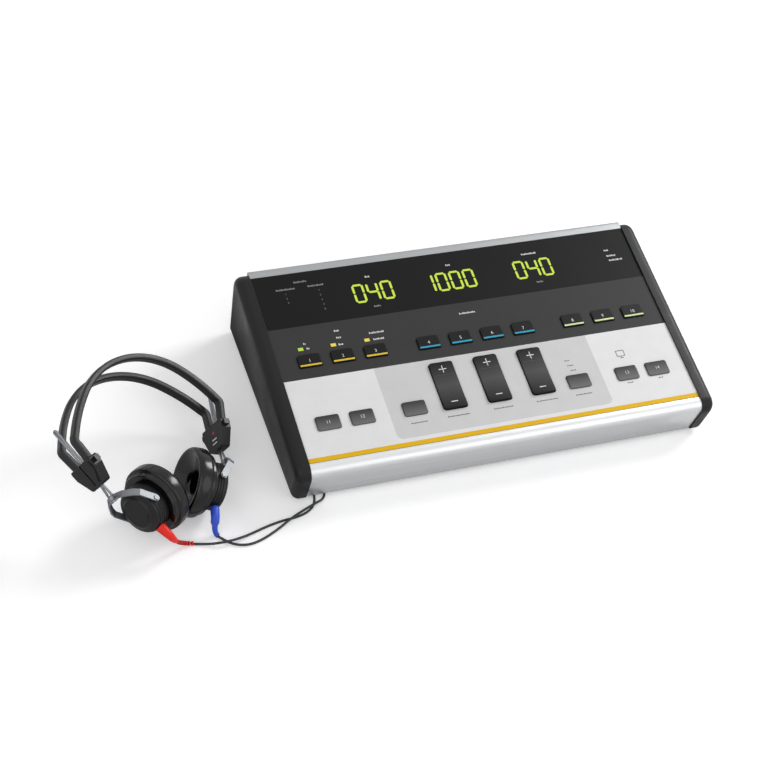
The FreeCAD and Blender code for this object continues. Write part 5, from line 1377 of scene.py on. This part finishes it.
@dataclass
class Jack:
    """Phone jack of a lead in its rear socket: grip with rings, taper and pin."""

    side: str
    rings: int = 6
    ring_start: float = 4.0
    ring_pitch: float = 2.4

    def build(self) -> bpy.types.Object:
        """Makes the jack in place of its CAD solid, along y from the socket's mouth."""
        mouth = middle(f"{self.side}_jack")
        mouth.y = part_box("rear_sockets")[1].y
        profile = [(-19.8, 0.0), (-19.8, 1.6), (-18.8, 2.6), (-17.0, 3.1), (0.0, 3.1), (0.0, 5.0),
                   (0.5, 5.45), (3.0, 5.5)]
        for ring in range(self.rings):
            start = self.ring_start + ring * self.ring_pitch
            profile += [(start, 5.5), (start + 0.4, 5.0), (start + 1.2, 5.0), (start + 1.6, 5.5)]
        profile += [(23.2, 5.4), (24.0, 4.5), (28.0, 3.2), (32.0, 1.9), (32.0, 0.0)]
        place = Matrix.Translation(mouth) @ Matrix.Rotation(math.radians(90), 4, "Z")
        piece = lathe(f"{self.side}_lead_jack", profile, place, 48, closed=False)
        return fit(piece, SOCKET, "console", f"{self.side}_jack")


LEFT_LEAD = Lead(
    "left",
    ((-306.4, -130.8), (-294.0, -134.0), (-281.0, -137.2), (-268.0, -136.2), (-255.5, -131.6),
     (-240.0, -126.8), (-224.0, -123.2), (-209.0, -122.4), (-197.0, -118.6), (-189.4, -111.6),
     (-186.4, -100.5), (-184.2, -82.0), (-185.4, -50.0), (-183.4, 2.0), (-185.6, 56.0), (-183.0, 104.0),
     (-177.0, 126.0), (-173.2, 137.5)),
    range(2, 4), (-160.0, 150.0), 205.0, 112.0, -1, (-158.6, -153.2, -151.0, -150.0, -150.0, -150.0))
RIGHT_LEAD = Lead(
    "right",
    ((-283.5, -127.3), (-277.5, -135.0), (-268.5, -140.8), (-257.5, -142.6), (-245.0, -139.2),
     (-230.0, -132.0), (-215.0, -124.2), (-201.5, -118.0), (-188.5, -112.6), (-179.5, -107.4),
     (-175.6, -98.5), (-176.4, -84.0), (-175.0, -58.0), (-176.6, -12.0), (-174.6, 40.0), (-174.5, 84.0),
     (-174.5, 106.0), (-163.0, 124.0), (-137.0, 133.5), (-123.0, 136.6)),
    range(6, 9), (-108.0, 150.0), -112.0, 68.0, 1, (-109.4, -118.0, -122.6, -126.0, -126.0, -126.0))


# ---------------------------------------------------------------- studio
FLOOR_HALF = 6.0
AIM = Vector((-0.1, 0.0, 0.03))


@dataclass
class Studio:
    """Pale floor, soft lamps, white surroundings and the camera."""

    eye: Point3 = (-574.27, -991.76, 1192.47)
    right: Point3 = (0.94124, -0.31366, 0.12521)
    up: Point3 = (0.15115, 0.72277, 0.67436)
    back: Point3 = (-0.30202, -0.61581, 0.72771)
    lens: float = 78.906

    def build(self) -> None:
        """Makes everything round the object."""
        bpy.context.scene.view_settings.view_transform = "Standard"
        self.camera()
        self.world()
        self.floor()
        self.lamp("key_lamp", (1.5, 0.6, 1.25), 0.7, 24.0)
        self.lamp("fill_lamp", (-1.3, -1.0, 1.5), 1.6, 9.0)
        self.lamp("front_lamp", (0.9, -1.5, 1.1), 1.4, 7.0)

    def camera(self) -> None:
        """Camera with its own axes and lens."""
        data = bpy.data.cameras.new("camera")
        data.lens = self.lens
        data.sensor_width = 36.0
        data.clip_start, data.clip_end = 0.05, 20.0
        camera = bpy.data.objects.new("camera", data)
        turn = Matrix((self.right, self.up, self.back)).transposed().to_4x4()
        camera.matrix_world = Matrix.Translation(mm(*self.eye)) @ turn
        bpy.context.scene.collection.objects.link(camera)
        bpy.context.scene.camera = camera

    @staticmethod
    def world() -> None:
        """White to the eye and in reflections, plain grey as light."""
        world = bpy.data.worlds.new("surroundings")
        world.use_nodes = True
        graph = Graph(world.node_tree)
        nodes = world.node_tree.nodes
        glossy = graph.add("ShaderNodeLightPath").outputs["Is Glossy Ray"]
        seen = graph.math("MAXIMUM", graph.seen(), glossy)
        colour = graph.mix(seen, (0.45, 0.45, 0.46, 1.0), (1.0, 1.0, 1.0, 1.0))
        graph.feed(nodes["Background"].inputs["Color"], colour)
        bpy.context.scene.world = world

    @staticmethod
    def floor() -> None:
        """Wide floor whose pale tone is lifted for the eye alone."""
        corners = [Vector((x * FLOOR_HALF, y * FLOOR_HALF, 0.0))
                   for x, y in ((-1, -1), (1, -1), (1, 1), (-1, 1))]
        floor = mesh_of("studio_floor", corners, [(0, 1, 2, 3)], None)
        material = bpy.data.materials.new("studio_floor_paper")
        material.use_nodes = True
        graph = Graph(material.node_tree)
        shader = material.node_tree.nodes["Principled BSDF"]
        shader.inputs["Base Color"].default_value = (0.86, 0.86, 0.86, 1.0)
        shader.inputs["Roughness"].default_value = 0.9
        shader.inputs["Emission Color"].default_value = (1.0, 1.0, 1.0, 1.0)
        place = graph.add("ShaderNodeTexCoord").outputs["Object"]
        far = graph.add("ShaderNodeVectorMath", {0: place}, operation="LENGTH").outputs["Value"]
        lift = graph.ramp(far, 0.8, 2.4, 0.30, 0.70)
        graph.feed(shader.inputs["Emission Strength"], graph.math("MULTIPLY", graph.seen(), lift))
        floor.data.materials.append(material)

    @staticmethod
    def lamp(name: str, place: Point3, size: float, power: float) -> None:
        """Square soft lamp that faces the console."""
        data = bpy.data.lights.new(name, "AREA")
        data.size = size
        data.energy = power
        lamp = bpy.data.objects.new(name, data)
        lamp.location = place
        lamp.rotation_mode = "QUATERNION"
        lamp.rotation_quaternion = (AIM - Vector(place)).to_track_quat("-Z", "Y")
        bpy.context.scene.collection.objects.link(lamp)


def main() -> None:
    """Builds the audiometer's pieces in order, and logs each piece's face count."""
    logging.basicConfig(level=logging.INFO, format="%(message)s")
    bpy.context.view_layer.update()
    Studio().build()
    pieces = Console().build() + Headset().build()
    pieces.append(PlugBoot("left", 8.0, 9.0, (0.3, 0.4), RED_BOOT, LEFT_LEAD.floor_run(), ribs=7).build())
    pieces.append(PlugBoot("right", -4.0, 8.0, (0.3, 0.3), BLUE_BOOT, RIGHT_LEAD.floor_run()).build())
    for lead in (LEFT_LEAD, RIGHT_LEAD):
        pieces.append(Jack(lead.side).build())
    for lead in (LEFT_LEAD, RIGHT_LEAD):
        pieces += lead.build()
    for piece in pieces:
        LOG.info("%s: %d faces", piece.name, len(piece.data.polygons))


if __name__ == "__main__":
    main()
